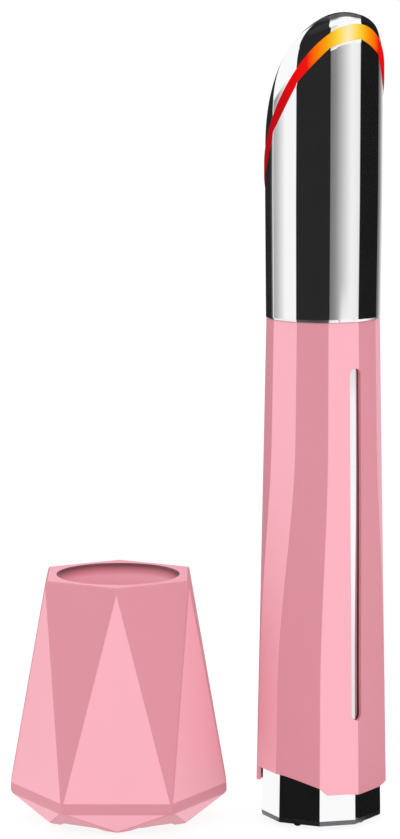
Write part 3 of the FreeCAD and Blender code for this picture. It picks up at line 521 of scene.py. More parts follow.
@functools.cache
def worked_metal(name, colour, roughness):
    """Drawn, cast, brushed or plated metal: a sheen that its marks make a little uneven."""
    material, tree = new_material(name)
    streaks = grain(tree, WORKING_MARKS, 3.0)
    spread = add_node(tree, "ShaderNodeMapRange",
                      {"Value": streaks.outputs["Fac"], "To Min": roughness * 0.8,
                       "To Max": roughness * 1.25})
    lay_surface(tree, {"Base Color": colour, "Metallic": 1.0,
                       "Roughness": spread.outputs["Result"]},
                streaks, strength=0.1, depth=0.02 * MM)
    return material


# ---- settings that a user would change ----
class MassagerSettings(bpy.types.PropertyGroup):
    """Sizes and colours of the wand, the stand and the studio."""

    edge_round: bpy.props.FloatProperty(
        name="Edge rounding", description="Where each facet starts to round towards its corner",
        default=0.2 * MM, min=0.02 * MM, max=0.8 * MM, unit="LENGTH", precision=5)
    chrome_crown: bpy.props.FloatProperty(
        name="Chrome facet swell", description="How far the middle of a chromed facet stands out",
        default=0.12 * MM, min=0.0, max=0.3 * MM, unit="LENGTH", precision=5)
    sleeve_crown: bpy.props.FloatProperty(
        name="Sleeve facet swell", description="How far the middle of a pink facet stands out",
        default=0.03 * MM, min=0.0, max=0.3 * MM, unit="LENGTH", precision=5)
    rim_round: bpy.props.FloatProperty(
        name="Rim rounding", description="Radius of the sleeve's and the slot's edges",
        default=0.18 * MM, min=0.02 * MM, max=0.4 * MM, unit="LENGTH", precision=5)
    chrome_rim: bpy.props.FloatProperty(
        name="Chrome rim rounding", description="Radius of the chromed barrel's end edges",
        default=0.06 * MM, min=0.02 * MM, max=0.4 * MM, unit="LENGTH", precision=5)
    stand_round: bpy.props.FloatProperty(
        name="Stand edge rounding", description="Width of the stand's rounded edges",
        default=0.28 * MM, min=0.05 * MM, max=1.0 * MM, unit="LENGTH", precision=5)
    # every second facet keeps the pink; the facets between get a darker copy of it, painted shade that
    # stands in for facets turned from the light
    light_pink: bpy.props.FloatVectorProperty(
        name="Light pink", description="Colour of every second facet", subtype="COLOR",
        size=3, default=linear("F4ACBA"), min=0.0, max=1.0)
    deep_pink: bpy.props.FloatVectorProperty(
        name="Painted shade pink", description="Colour of the facets between", subtype="COLOR",
        size=3, default=linear("D88C99"), min=0.0, max=1.0)
    chrome: bpy.props.FloatVectorProperty(
        name="Chrome", description="Tint of the chromium plate", subtype="COLOR",
        size=3, default=linear("F9F9FA"), min=0.0, max=1.0)
    camera_distance: bpy.props.FloatProperty(
        name="Camera distance", description="From the middle of the view to the camera",
        default=0.65, min=0.3, max=3.0, unit="LENGTH")
    camera_elevation: bpy.props.FloatProperty(
        name="Camera elevation", description="Height of the camera above the horizon",
        default=math.radians(8.0), min=0.0, max=math.radians(60), subtype="ANGLE")


# ---- operators ----
class MASSAGER_OT_barrel(bpy.types.Operator):
    """Build the chromed barrel with its neck, floor, bore and lamp ledge"""
    bl_idname = "massager.barrel"
    bl_label = "Chromed barrel"

    def execute(self, context):
        look = settings()
        rim = look.chrome_rim
        base = outline(HEAD_RADIUS, SEAM, look.edge_round, look.chrome_crown)
        foot_scale = BARREL_SEAM_RADIUS / HEAD_RADIUS
        rim_share = rim / HEAD_RADIUS

        def scale(height):
            share = min(1.0, (height - SEAM) / (BARREL_FULL_HEIGHT - SEAM))
            return blend(foot_scale, 1.0, share)

        rings = [level([p * (foot_scale - rim_share * (1 - sin)) for p in base],
                       SEAM + rim * (1 - cos)) for cos, sin in quarter()]
        rows = [row / BARREL_ROWS for row in range(1, BARREL_ROWS)]
        for share in [BARREL_EDGE_ROW] + rows + [1 - BARREL_EDGE_ROW, 1.0]:
            heights = [blend(SEAM + rim, plane_height(p) - RING_HEIGHT - rim, share) for p in base]
            rings.append([at(p * scale(height), height) for p, height in zip(base, heights)])
        for cos, sin in quarter()[1:]:
            rings.append(on_plane([p * (1 - rim_share * (1 - cos)) for p in base],
                                  -RING_HEIGHT - rim * (1 - sin)))
        for radius, drop in ((BARREL_BORE, RING_HEIGHT), (BARREL_BORE, LEDGE_DROP),
                             (BARREL_LOWER_BORE, LEDGE_DROP)):
            rings.append(on_plane(circle_like(base, radius), -drop))
        for radius, height in ((BARREL_LOWER_BORE, FLOOR_TOP), (NECK_BORE, FLOOR_TOP),
                               (NECK_BORE, NECK_BOTTOM), (NECK_RADIUS, NECK_BOTTOM),
                               (NECK_RADIUS, SEAM)):
            rings.append(level(circle_like(base, radius), height))
        piece = lathe("barrel_shell", rings)
        dress(piece, bright_chrome())
        smooth(piece)
        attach(piece, "wand")
        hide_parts("head_barrel")
        return {"FINISHED"}


def crown_rows(columns, inset):
    """Rows of the tip's dome: each column arches from the ring's plane to the short top edge."""
    share_in = 1 - inset / HEAD_RADIUS
    peak = RING_TOP + CROWN_HEIGHT - inset
    tops, peaks = [], []
    for i in range(len(columns)):
        facet, along = divmod(i - ARC_STEPS / 2, PER_SIDE)
        start, end = (CROWN_ENDS[CROWN_CORNER_ENDS[int(corner) % CORNERS]]
                      for corner in (facet, facet + 1))
        shift = min(1.0, max(0.0, along - ARC_STEPS / 2) / SIDE_STEPS)
        tops.append(Vector((blend(start, end, shift), -CROWN_FRONT)) * share_in)
        lift = arch(shift) if start != end else 0.0
        peaks.append(peak - CROWN_SAG * (1 - lift))
    rings = []
    for row in range(CROWN_ROWS + 1):
        turn = math.pi / 2 * (row / CROWN_ROWS) ** CROWN_SPREAD
        share = max(CROWN_TIP, math.cos(turn) ** (2 / CROWN_SIDE_POWER))
        rise = math.sin(turn) ** (2 / CROWN_RISE_POWER)
        rings.append([at(blend(top, p * share_in, share),
                         blend(plane_height(p * share_in), height, rise))
                      for p, top, height in zip(columns, tops, peaks)])
    return rings + [[sum(rings[-1], Vector()) / len(columns)]]


class MASSAGER_OT_tip(bpy.types.Operator):
    """Build the crowned massage tip, hollow, with the spigot that plugs into the ring"""
    bl_idname = "massager.tip"
    bl_label = "Massage tip"

    def execute(self, context):
        look = settings()
        base = outline(HEAD_RADIUS, SEAM, look.edge_round, look.chrome_crown)
        roof = BVHTree.FromPolygons(*surface(crown_rows(base, HEAD_WALL)))
        rings = crown_rows(base, 0.0)[::-1]
        spigot_end = -RING_HEIGHT - RING_LIP + PUSH_FIT
        for radius, above in ((SPIGOT_RADIUS, 0.0), (SPIGOT_RADIUS, spigot_end),
                              (CAVITY_RADIUS, spigot_end)):
            rings.append(on_plane(circle_like(base, radius), above))
        for share in CAVITY_SHARES:
            ring = circle_like(base, CAVITY_RADIUS * share) if share else [Vector((0, 0))]
            rings.append([roof.ray_cast(p, Vector((0, 0, 1)))[0] for p in on_plane(ring)])
        piece = lathe("tip_shell", rings, closed=False)
        dress(piece, bright_chrome())
        smooth(piece)
        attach(piece, "wand")
        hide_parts("massage_head")
        return {"FINISHED"}


class MASSAGER_OT_ring(bpy.types.Operator):
    """Build the lit ring between the barrel and the tip, with its lip inside the barrel"""
    bl_idname = "massager.ring"
    bl_label = "Lit ring"

    def execute(self, context):
        look = settings()
        rim = look.rim_round
        base = circle(RING_RADIUS)

        def inset(by):
            return [p * (1 - by / RING_RADIUS) for p in base]

        rings = []
        for cos, sin in quarter():
            rings.append(on_plane(inset(rim * (1 - sin)), -RING_HEIGHT + rim * (1 - cos)))
        for row in range(1, RING_ROWS):
            rings.append(on_plane(base, blend(-RING_HEIGHT + rim, -rim, row / RING_ROWS)))
        for cos, sin in quarter():
            rings.append(on_plane(inset(rim * (1 - cos)), -rim * (1 - sin)))
        bore, lip = SPIGOT_RADIUS + PUSH_FIT, BARREL_BORE - PUSH_FIT
        lip_end = -RING_HEIGHT - RING_LIP
        for radius, above in ((bore, 0.0), (bore, lip_end), (lip, lip_end), (lip, -RING_HEIGHT)):
            rings.append(on_plane(circle(radius), above))
        piece = lathe("glow_ring", rings)
        dress(piece, lit_polycarbonate())
        smooth(piece)
        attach(piece, "wand")
        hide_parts("light_ring")
        return {"FINISHED"}


class MASSAGER_OT_sleeve(bpy.types.Operator):
    """Build the pink sleeve with its slot and its stepped, wavy skirt"""
    bl_idname = "massager.sleeve"
    bl_label = "Pink sleeve"

    def execute(self, context):
        piece = sleeve_shell("sleeve_shell")
        dress(piece, lacquer("deep"), lacquer("light"))
        # painted shade on every second facet, the pink itself on the others
        paint_facet_shade(piece)
        smooth(piece)
        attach(piece, "wand")
        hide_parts("handle_sleeve")
        return {"FINISHED"}


def pink(tone):
    """The pink of every second facet, or the darker copy of it on the facets between, which is painted
    shade.
    """
    look = settings()
    return tuple(look.deep_pink if tone == "deep" else look.light_pink) + (1.0,)


def lacquer(tone):
    """The sleeve's sprayed lacquer: smooth, even pink with soft wide highlights, or its darker copy with
    painted shade.
    """
    return lacquered_plastic(f"satin lacquer on ABS, {tone} pink", pink(tone))


def sleeve_radius(height):
    share = (height - SKIRT_END) / (SEAM - SKIRT_END)
    return blend(SLEEVE_FOOT_RADIUS, SLEEVE_TOP_RADIUS, share)


def wave_height(across):
    """Height of the front half's lower edge: flat, then a falling and rising wave."""
    if across < WAVE_X[0]:
        return WAVE_Z[0]
    return float(np.polyval(np.polyfit(WAVE_X, WAVE_Z, 3), across))


SLOT_OUT = direction(SLOT_TURN)
SLOT_ACROSS = Vector((-SLOT_OUT.y, SLOT_OUT.x))


@functools.cache
def sleeve_outline(height, inset):
    look = settings()
    crown = look.sleeve_crown if inset == 0 else 0.0
    return outline(sleeve_radius(height) - inset, height, look.edge_round, crown)


@functools.cache
def slot_side_view(height, inset):
    """The section near the slot, as places across it and places out from the axis."""
    near = sleeve_outline(height, inset)[PER_SIDE * (SLOT_CORNER - 1):
                                         PER_SIDE * (SLOT_CORNER + 1) + ARC_STEPS + 1]
    return [p.dot(SLOT_ACROSS) for p in near], [p.dot(SLOT_OUT) for p in near]


def beside_slot(across, height, inset, depth=0.0):
    """The sleeve's skin at a place across the slot's middle line, or below that skin."""
    places, reach = slot_side_view(height, inset)
    out = float(np.interp(across, places, reach)) - depth
    return at(SLOT_ACROSS * across + SLOT_OUT * out, height)


def ridge_across(height):
    """Place across the slot of the corner that the slot is cut along."""
    return sleeve_radius(height) * math.sin(corner_turns(height)[SLOT_CORNER] - SLOT_TURN)


# The sleeve's columns: points of its section by number, then places to the left of the slot, over
# it and to the right of it, and the rest of the section.
COLUMNS = [("section", i) for i in range(PER_SIDE * (SLOT_CORNER - 1) + ARC_STEPS + 1)]
COLUMNS += [("left", k) for k in range(1, MARGIN_COLUMNS + 1)]
COLUMNS += [("slot", k) for k in range(-SLOT_COLUMNS, SLOT_COLUMNS + 1)]
COLUMNS += [("right", k) for k in range(1, MARGIN_COLUMNS + 1)]
COLUMNS += [("section", i) for i in range(PER_SIDE * (SLOT_CORNER + 1), PER_SIDE * CORNERS)]
SLOT_FIRST = COLUMNS.index(("slot", -SLOT_COLUMNS))
SLOT_LAST = COLUMNS.index(("slot", SLOT_COLUMNS))


def row_height(row):
    """Height of a row beside the slot's straight sides, or of the end that a row lies beyond."""
    share = (row - SLOT_ROWS[0]) / BESIDE_ROWS
    return blend(SLOT_LOW, SLOT_HIGH, min(1.0, max(0.0, share)))


def slot_edge(column, row, reach):
    """Place across and height of a point on the slot's edge, reach being its half width."""
    height = row_height(row)
    if SLOT_ROWS[0] < row < SLOT_ROWS[1]:
        return math.copysign(reach, column), height
    ridge = ridge_across(height) / SLOT_HALF
    middle = math.asin(max(-RIDGE_LIMIT, min(RIDGE_LIMIT, ridge)))
    turn = float(np.interp(column, (-SLOT_COLUMNS, 0, SLOT_COLUMNS),
                           (-math.pi / 2, middle, math.pi / 2)))
    rise = reach * math.cos(turn)
    return reach * math.sin(turn), height + (rise if row >= SLOT_ROWS[1] else -rise)


def skirt_height(kind, number):
    """Height of the sleeve's lower edge at a column."""
    if kind == "section":
        x = sleeve_outline(SKIRT_END, 0)[number].x
        in_front = 0 <= number - ARC_STEPS // 2 < PER_SIDE * CORNERS // 2
        return wave_height(x if in_front else -x)
    across = {"left": -SKIRT_BESIDE_SLOT, "right": SKIRT_BESIDE_SLOT,
              "slot": SKIRT_SLOT_STEP * number}[kind]
    return wave_height(SLOT_OUT.x * sleeve_radius(SKIRT_END) + across * SLOT_ACROSS.x)


def sleeve_point(column, row, inset, reach):
    """A point of one skin's grid, where the slot's half width on that skin is reach."""
    kind, number = COLUMNS[column]
    rim = settings().rim_round if inset == 0 else 0.0
    share, height = 1.0, row_height(row)
    if kind == "slot":
        edge, height = slot_edge(number, row, reach)
    if row < SLOT_ROWS[0]:
        share = row / BELOW_ROWS
        height = blend(skirt_height(kind, number) + rim, height, share)
    elif row > SLOT_ROWS[1]:
        share = (LAST_ROW - row) / ABOVE_ROWS
        height = blend(SEAM - rim, height, share)
    if kind == "section":
        return at(sleeve_outline(height, inset)[number], height)
    far = SLOT_HALF + SLOT_MARGIN
    places, _ = slot_side_view(height, inset)
    if kind == "left":
        across = blend(places[ARC_STEPS], -far, number / MARGIN_COLUMNS)
    elif kind == "right":
        across = blend(far, places[-1 - ARC_STEPS], (number - 1) / MARGIN_COLUMNS)
    else:
        even = float(np.interp(number, (-SLOT_COLUMNS - 1, 0, SLOT_COLUMNS + 1),
                               (-far, ridge_across(height), far)))
        across = blend(even, edge, share)
    return beside_slot(across, height, inset)


def sleeve_skin(points, inset, reach):
    """Add one skin's points and give their numbers by column and row, none inside the slot."""
    grid = {}
    for column in range(len(COLUMNS)):
        for row in range(LAST_ROW + 1):
            if not (SLOT_FIRST < column < SLOT_LAST and SLOT_ROWS[0] < row < SLOT_ROWS[1]):
                grid[column, row] = len(points)
                points.append(sleeve_point(column, row, inset, reach))
    return grid


def skin_faces(grid):
    """Faces between a skin's points, apart from those over the slot."""
    return [[grid[(column + a) % len(COLUMNS), row + b] for a, b in ((0, 0), (1, 0), (1, 1), (0, 1))]
            for column in range(len(COLUMNS)) for row in range(LAST_ROW)
            if not (SLOT_FIRST <= column < SLOT_LAST and SLOT_ROWS[0] <= row < SLOT_ROWS[1])]


def sleeve_shell(name):
    """Outer and inner skin as grids that share their columns, joined along rounded rims."""
    rim = settings().rim_round
    points = []
    outer = sleeve_skin(points, 0.0, SLOT_HALF + rim)
    inner = sleeve_skin(points, SLEEVE_WALL, SLOT_HALF)
    faces = skin_faces(outer) + skin_faces(inner)

    def rounded(spots, lifted):
        """Faces from the outer skin's edge, over loops of lifted points, to the inner skin's."""
        loops = [[outer[spot] for spot in spots]]
        for cos, sin in quarter()[1:]:
            start = len(points)
            points.extend([lifted(spot, cos, sin) for spot in spots])
            loops.append(list(range(start, len(points))))
        return ring_faces(loops + [[inner[spot] for spot in spots]])

    def at_end(spot, cos, sin):
        outside = points[outer[spot]]
        inward = (points[inner[spot]] - outside).xy.normalized().to_3d()
        rise = rim * sin if spot[1] == LAST_ROW else -rim * sin
        return outside + inward * (rim * (1 - cos)) + Vector((0, 0, rise))

    def at_slot(spot, cos, sin):
        column, row = spot
        across, height = slot_edge(COLUMNS[column][1], row, SLOT_HALF + rim * (1 - sin))
        return beside_slot(across, height, 0.0, rim * (1 - cos))

    for row in (LAST_ROW, 0):
        faces += rounded([(column, row) for column in range(len(COLUMNS))], at_end)
    low_row, high_row = SLOT_ROWS
    faces += rounded([(column, low_row) for column in range(SLOT_FIRST, SLOT_LAST + 1)]
                     + [(SLOT_LAST, row) for row in range(low_row + 1, high_row)]
                     + [(column, high_row) for column in range(SLOT_LAST, SLOT_FIRST - 1, -1)]
                     + [(SLOT_FIRST, row) for row in range(high_row - 1, low_row, -1)], at_slot)
    return mesh_object(name, points, faces)


class MASSAGER_OT_handle(bpy.types.Operator):
    """Finish the chromed tube inside the sleeve and the parts of the foot"""
    bl_idname = "massager.handle"
    bl_label = "Tube and foot"

    def execute(self, context):
        for node, width, segments, from_angle in SOFT_EDGES:
            soften(node, width, segments, from_angle)
        # deep black with a faint grain that softens its highlights
        black = plain_plastic("black ABS, moulded", rgba("17171A"), 0.45)
        # a quiet mid grey without clear reflections
        brushed = worked_metal("brushed stainless steel", rgba("747679"), 0.4)
        # nearly black, with a dull metal sheen on its domes
        oxide = worked_metal("black oxide on steel", rgba("2A2A2C"), 0.4)
        # warm yellow, the brightest spots of the foot
        gilt = worked_metal("gold plate on brass", rgba("D9A94E"), 0.2)
        dress_solids({
            "handle_tube": bright_chrome(),
            "end_plate": brushed,
            "foot_screws": oxide,
            "switch_housing": black,
            "switch_knob": black,
            "charging_pins": gilt,
            "barrel_collar": black,
        })
        return {"FINISHED"}


class MASSAGER_OT_inside(bpy.types.Operator):
    """Finish the pieces that are sealed inside the wand"""
    bl_idname = "massager.inside"
    bl_label = "Inner pieces"

    def execute(self, context):
        # unpainted inner parts: plain, dull and even
        grey = plain_plastic("grey ABS, moulded", rgba("8A8C90"))
        # dark green with a slight gloss, as solder resist has
        epoxy = plain_plastic("glass epoxy with green solder resist", rgba("14602F"), 0.3)
        # pale grey with a clean metal sheen
        drawn = worked_metal("drawn steel", rgba("B4B4B8"), 0.3)
        dress_solids({
            "chassis": grey,
            "motor_mount": grey,
            "motor_end_cap": plain_plastic("white nylon, moulded", rgba("D8D6CE")),  # dull off-white
            "motor_case": drawn,
            "motor_shaft": drawn,
            "eccentric_weight": worked_metal("sintered tungsten alloy", rgba("77787C"), 0.45),  # dark, matt
            "heater_film": plain_plastic("polyimide film", rgba("C07A22"), 0.25),  # smooth amber
            "temperature_sensor": plain_plastic("epoxy bead", rgba("161414"), 0.2),  # glossy black
            "led_board": epoxy,
            "circuit_board": epoxy,
            "led_lamps": plain_plastic("clear epoxy lamp", rgba("F3E6B8"), 0.1),  # bright, pale yellow
            "board_components": plain_plastic("black moulded epoxy", rgba("101012"), 0.4),  # dull black
            "battery_cell": plain_plastic("blue shrink wrap", rgba("2A5288"), 0.35),  # satin blue
            "battery_tabs": worked_metal("nickel strip", rgba("C6C3B8"), 0.3),  # pale, warm grey
            "internal_leads": plain_plastic("red silicone insulation", rgba("A01814"), 0.5),  # dull red
        })
        return {"FINISHED"}


def hexagon(radius, height, first=0.0):
    """Corners of one of the stand's hexagons."""
    return [STAND + p.to_3d() + Vector((0, 0, height))
            for p in circle(radius, STAND_SIDES, first)]


def stand_block(name, inset, bottom):
    """The stand's faceted form as a plain block: hexagons joined by triangles at a waist."""
    half_side = math.pi / STAND_SIDES
    waist = STAND_WAIST_RADIUS - STAND_WAIST_WALL * inset
    rings = [hexagon(STAND_FOOT_RADIUS - inset, bottom),
             hexagon(waist, STAND_WAIST_BOTTOM, half_side),
             hexagon(waist, STAND_WAIST_TOP, half_side),
             hexagon(STAND_TOP_RADIUS - inset, STAND_TOP)]
    points = [p for ring in rings for p in ring]
    foot, waist_low, waist_high, top = (list(range(k * STAND_SIDES, (k + 1) * STAND_SIDES))
                                        for k in range(len(rings)))
    # the top and the triangles based on the waist keep the pink; the foot, the waist band and the triangles
    # based on the top and foot hexagons get its darker copy, painted shade
    light, deep = [top], [foot]
    for i in range(STAND_SIDES):
        j = (i + 1) % STAND_SIDES
        deep.append((foot[i], foot[j], waist_low[i]))
        light.append((waist_low[i], waist_low[j], foot[j]))
        deep.append((waist_low[i], waist_low[j], waist_high[j], waist_high[i]))
        light.append((waist_high[i], waist_high[j], top[j]))
        deep.append((top[i], top[j], waist_high[i]))
    piece = mesh_object(name, points, deep + light)
    dress(piece, plain_pink("deep"), plain_pink("light"))
    for face in piece.data.polygons:
        face.material_index = 0 if face.index < len(deep) else 1
    return piece


def turned(name, profile):
    """A round piece on the stand's axis from a profile of radius and height, closed by poles."""
    rings = []
    for radius, height in profile:
        centre = STAND + Vector((0, 0, height))
        rings.append([centre + p.to_3d() for p in circle(radius)] if radius else [centre])
    return lathe(name, rings, closed=False)


def cylinder(radius, bottom, top):
    """Profile of a plain cylinder."""
    return [(0, bottom), (radius, bottom), (radius, top), (0, top)]


def cut(piece, cutter):
    """Cut another mesh out of a piece, with that mesh's materials on the cut, and delete it."""
    change = piece.modifiers.new("cut", "BOOLEAN")
    change.operation = "DIFFERENCE"
    change.solver = "EXACT"
    change.material_mode = "TRANSFER"
    change.object = cutter
    graph = bpy.context.evaluated_depsgraph_get()
    result = bpy.data.meshes.new_from_object(piece.evaluated_get(graph))
    piece.modifiers.remove(change)
    piece.data = result
    bpy.data.objects.remove(cutter)


class MASSAGER_OT_stand(bpy.types.Operator):
    """Build the faceted stand with its socket, and finish the pieces fitted to it"""
    bl_idname = "massager.stand"
    bl_label = "Stand"

    def execute(self, context):
        look = settings()
        body = stand_block("stand_body", 0.0, STAND_BOTTOM)
        work = bmesh.new()
        work.from_mesh(body.data)
        bmesh.ops.bevel(work, geom=work.edges[:], offset=look.stand_round, segments=STAND_ARC_STEPS,
                        profile=0.5, affect="EDGES", clamp_overlap=True)
        work.to_mesh(body.data)
        work.free()
        hollow = stand_block("hollow", STAND_WALL, STAND_BOTTOM - STAND_WALL)
        over = STAND_TOP + CUTTER_OVER
        well = cylinder(SOCKET_RADIUS + SOCKET_WALL, PAD_BOTTOM - SOCKET_FLOOR, over)
        cut(hollow, turned("well", well))
        cut(hollow, turned("above", cylinder(CUTTER_RADIUS, STAND_CAVITY_TOP, over)))
        cut(body, hollow)
        mouth = [(SOCKET_RADIUS + MOUTH * (1 - cos), STAND_TOP - MOUTH * (1 - sin))
                 for cos, sin in quarter(MOUTH_STEPS)]
        socket = turned("socket", [(0, PAD_BOTTOM), (PAD_RADIUS + PAD_GAP, PAD_BOTTOM),
                                   (PAD_RADIUS + PAD_GAP, SOCKET_BOTTOM),
                                   (SOCKET_RADIUS, SOCKET_BOTTOM), *mouth,
                                   (SOCKET_RADIUS + MOUTH, over), (0, over)])
        # the socket's wall gets the material with painted shade under the mouth and painted light below it
        dress(socket, socket_painted_shading())
        cut(body, socket)
        smooth(body, hard_angle=38.0)
        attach(body, "stand")
        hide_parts("stand_shell")
        body.visible_glossy = False      # keeps it out of the chromed foot beside it
        # soft and dull, a darker pink than the body
        pad = plain_plastic("silicone rubber, dusky pink", rgba("B9808B"), 0.6)
        # a cool, fairly bright grey
        zinc = worked_metal("zinc plated steel", rgba("A9ABAF"), 0.3)
        # dark and rough, with hardly a highlight
        iron = worked_metal("cast iron", rgba("4A4A4C"), 0.6)
        dress_solids({
            "stand_foot_pad": pad,
            "socket_pad": pad,
            "stand_base": plain_pink("light"),
            "stand_screws": zinc,
            "stand_ballast": iron,
        })
        return {"FINISHED"}


@functools.cache
def socket_painted_shading():
    """The same ABS on the socket's wall: painted shade, dusky right under the mouth, and painted light,
    paler than the pink, further down.
    """
    material, tree = new_material("ABS, satin moulded, socket wall, painted shading")
    place = add_node(tree, "ShaderNodeTexCoord")
    parts = add_node(tree, "ShaderNodeSeparateXYZ", {0: place.outputs["Object"]})
    depth = add_node(tree, "ShaderNodeMapRange", {"Value": parts.outputs["Z"],
                                                  "From Min": STAND_TOP - SOCKET_SHADE,
                                                  "From Max": STAND_TOP})
    ramp = add_node(tree, "ShaderNodeValToRGB", {"Fac": depth.outputs["Result"]})
    # pale is painted light and dusky is painted shade, not colours of the ABS
    pale, dusky = rgba("FFC0CE"), rgba("7A4852")
    set_stops(ramp, [(0, pale), (0.4, pale), (0.68, pink("deep")), (0.92, dusky)])
    lay_surface(tree, {"Base Color": ramp.outputs["Color"], "Roughness": 0.45,
                       "Specular IOR Level": 0.3})
    return material


def plain_pink(tone):
    """The stand's bare ABS: the same pink, a little duller than the sleeve's, or its darker copy with
    painted shade.
    """
    return lacquered_plastic(f"ABS, satin moulded, {tone} pink", pink(tone), roughness=0.45)


# ---- studio ----
VIEW_CENTRE = Vector((0.35 * MM, 0.0, 69.6 * MM))
VIEW_HEIGHT = 143.6 * MM      # height of the picture at the object
LAMP_SIZE = 0.9
LAMPS = (("key softbox", (-0.5, -0.9, 0.9), 1.3),     # name, place and power
         ("top softbox", (0.0, 0.1, 1.2), 2.7),
         ("fill softbox", (0.9, -0.7, 0.5), 1.1))
FLOOR_REACH = 6.0
FLOOR_DROP = 0.02 * MM        # just under the feet, so the two never share a plane
PAPER_LIGHT = 1.05            # how brightly the paper glows by itself
PAPER_GLOW = (0.8, 0.85)      # share of that glow: for bounced light, and as it is seen
WORLD_LIGHT = (1.0, 1.03)     # the world's brightness, for the same two

# The tent stands round the wand for the chrome to mirror: cloth on the table, a round wall and a
# roof. Its brightness goes by degrees from the front, to the right positive.
TENT_RADIUS = 0.45
TENT_TABLE = 0.2 * MM         # height of the cloth on the table
TENT_EYE = 0.12               # height of the middle of the tent's round roof
TENT_STEPS = 72
ROOF_STEPS = 4                # steps up each row of the roof
CLOTH = ((-180, 0.75), (-165, 0.9), (-150, 0.12), (-115, 0.05), (-98, 0.9), (-72, 0.9),
         (-60, 0.15), (-20, 0.06), (20, 0.25), (36, 1.0), (100, 1.0), (116, 0.2), (140, 0.05),
         (158, 0.6), (179, 0.75))
# the wall to the left and to the right of the strip that the tube in the slot mirrors
WALL_LEFT = ((-180, 0.02), (-138, 0.02), (-132, 0.95), (-108, 0.95), (-100, 0.25), (-93, 0.65),
             (-87, 0.97), (-76, 0.97), (-70, 0.02), (24, 0.02), (28, 0.05), (32, 0.17), (37, 0.42))
WALL_RIGHT = ((49, 0.9), (54, 0.6), (66, 0.01), (140, 0.01), (148, 0.15), (158, 0.5), (166, 0.85),
              (179, 0.1))
# The tent's rows from the middle of the table up: where each ends, and its brightness. A row of the
# table ends at a radius, one of the wall at a height, and one of the roof at a rise in degrees.
TENT_ROWS = (
    ("table", 0.06, ((-180, 1.0), (-64, 1.0), (-58, 0.008), (-8, 0.008), (0, 1.0), (50, 1.0),
                     (60, 0.3), (68, 0.008), (179, 0.008))),
    ("table", TENT_RADIUS, CLOTH),
    ("wall", 0.004, CLOTH),
    ("wall", 0.03, WALL_LEFT + ((39, 0.97), (46, 0.97)) + WALL_RIGHT),
    ("wall", 0.037, WALL_LEFT + ((40, 0.8), (46, 0.92)) + WALL_RIGHT),
    ("wall", TENT_EYE, WALL_LEFT + ((42, 0.7), (46, 0.92)) + WALL_RIGHT),
    ("roof", 8, ((-180, 0.02), (-145, 0.02), (-138, 1.0), (-70, 1.0), (-62, 0.02), (16, 0.02),
                 (24, 0.6), (32, 1.0), (70, 1.0), (78, 0.01), (145, 0.01), (155, 0.3),
                 (179, 0.3))),
    ("roof", 27, ((-180, 0.02), (-172, 0.02), (-169, 1.0), (-70, 1.0), (-62, 0.02), (16, 0.02),
                  (24, 0.6), (32, 1.0), (72, 1.0), (80, 0.01), (166, 0.02), (172, 0.08),
                  (176, 0.02))),
    ("roof", 48, ((-180, 0.14), (-168, 0.06), (-155, 0.02), (16, 0.02), (24, 1.0), (72, 1.0),
                  (80, 0.01), (160, 0.02), (170, 0.13), (179, 0.14))),
    ("roof", 58, ((-180, 0.9), (-165, 0.04), (16, 0.02), (24, 1.0), (80, 1.0), (90, 0.02),
                  (150, 0.4), (160, 1.0), (179, 1.0))),
    ("roof", 90, ((-180, 1.0), (179, 1.0))),
)


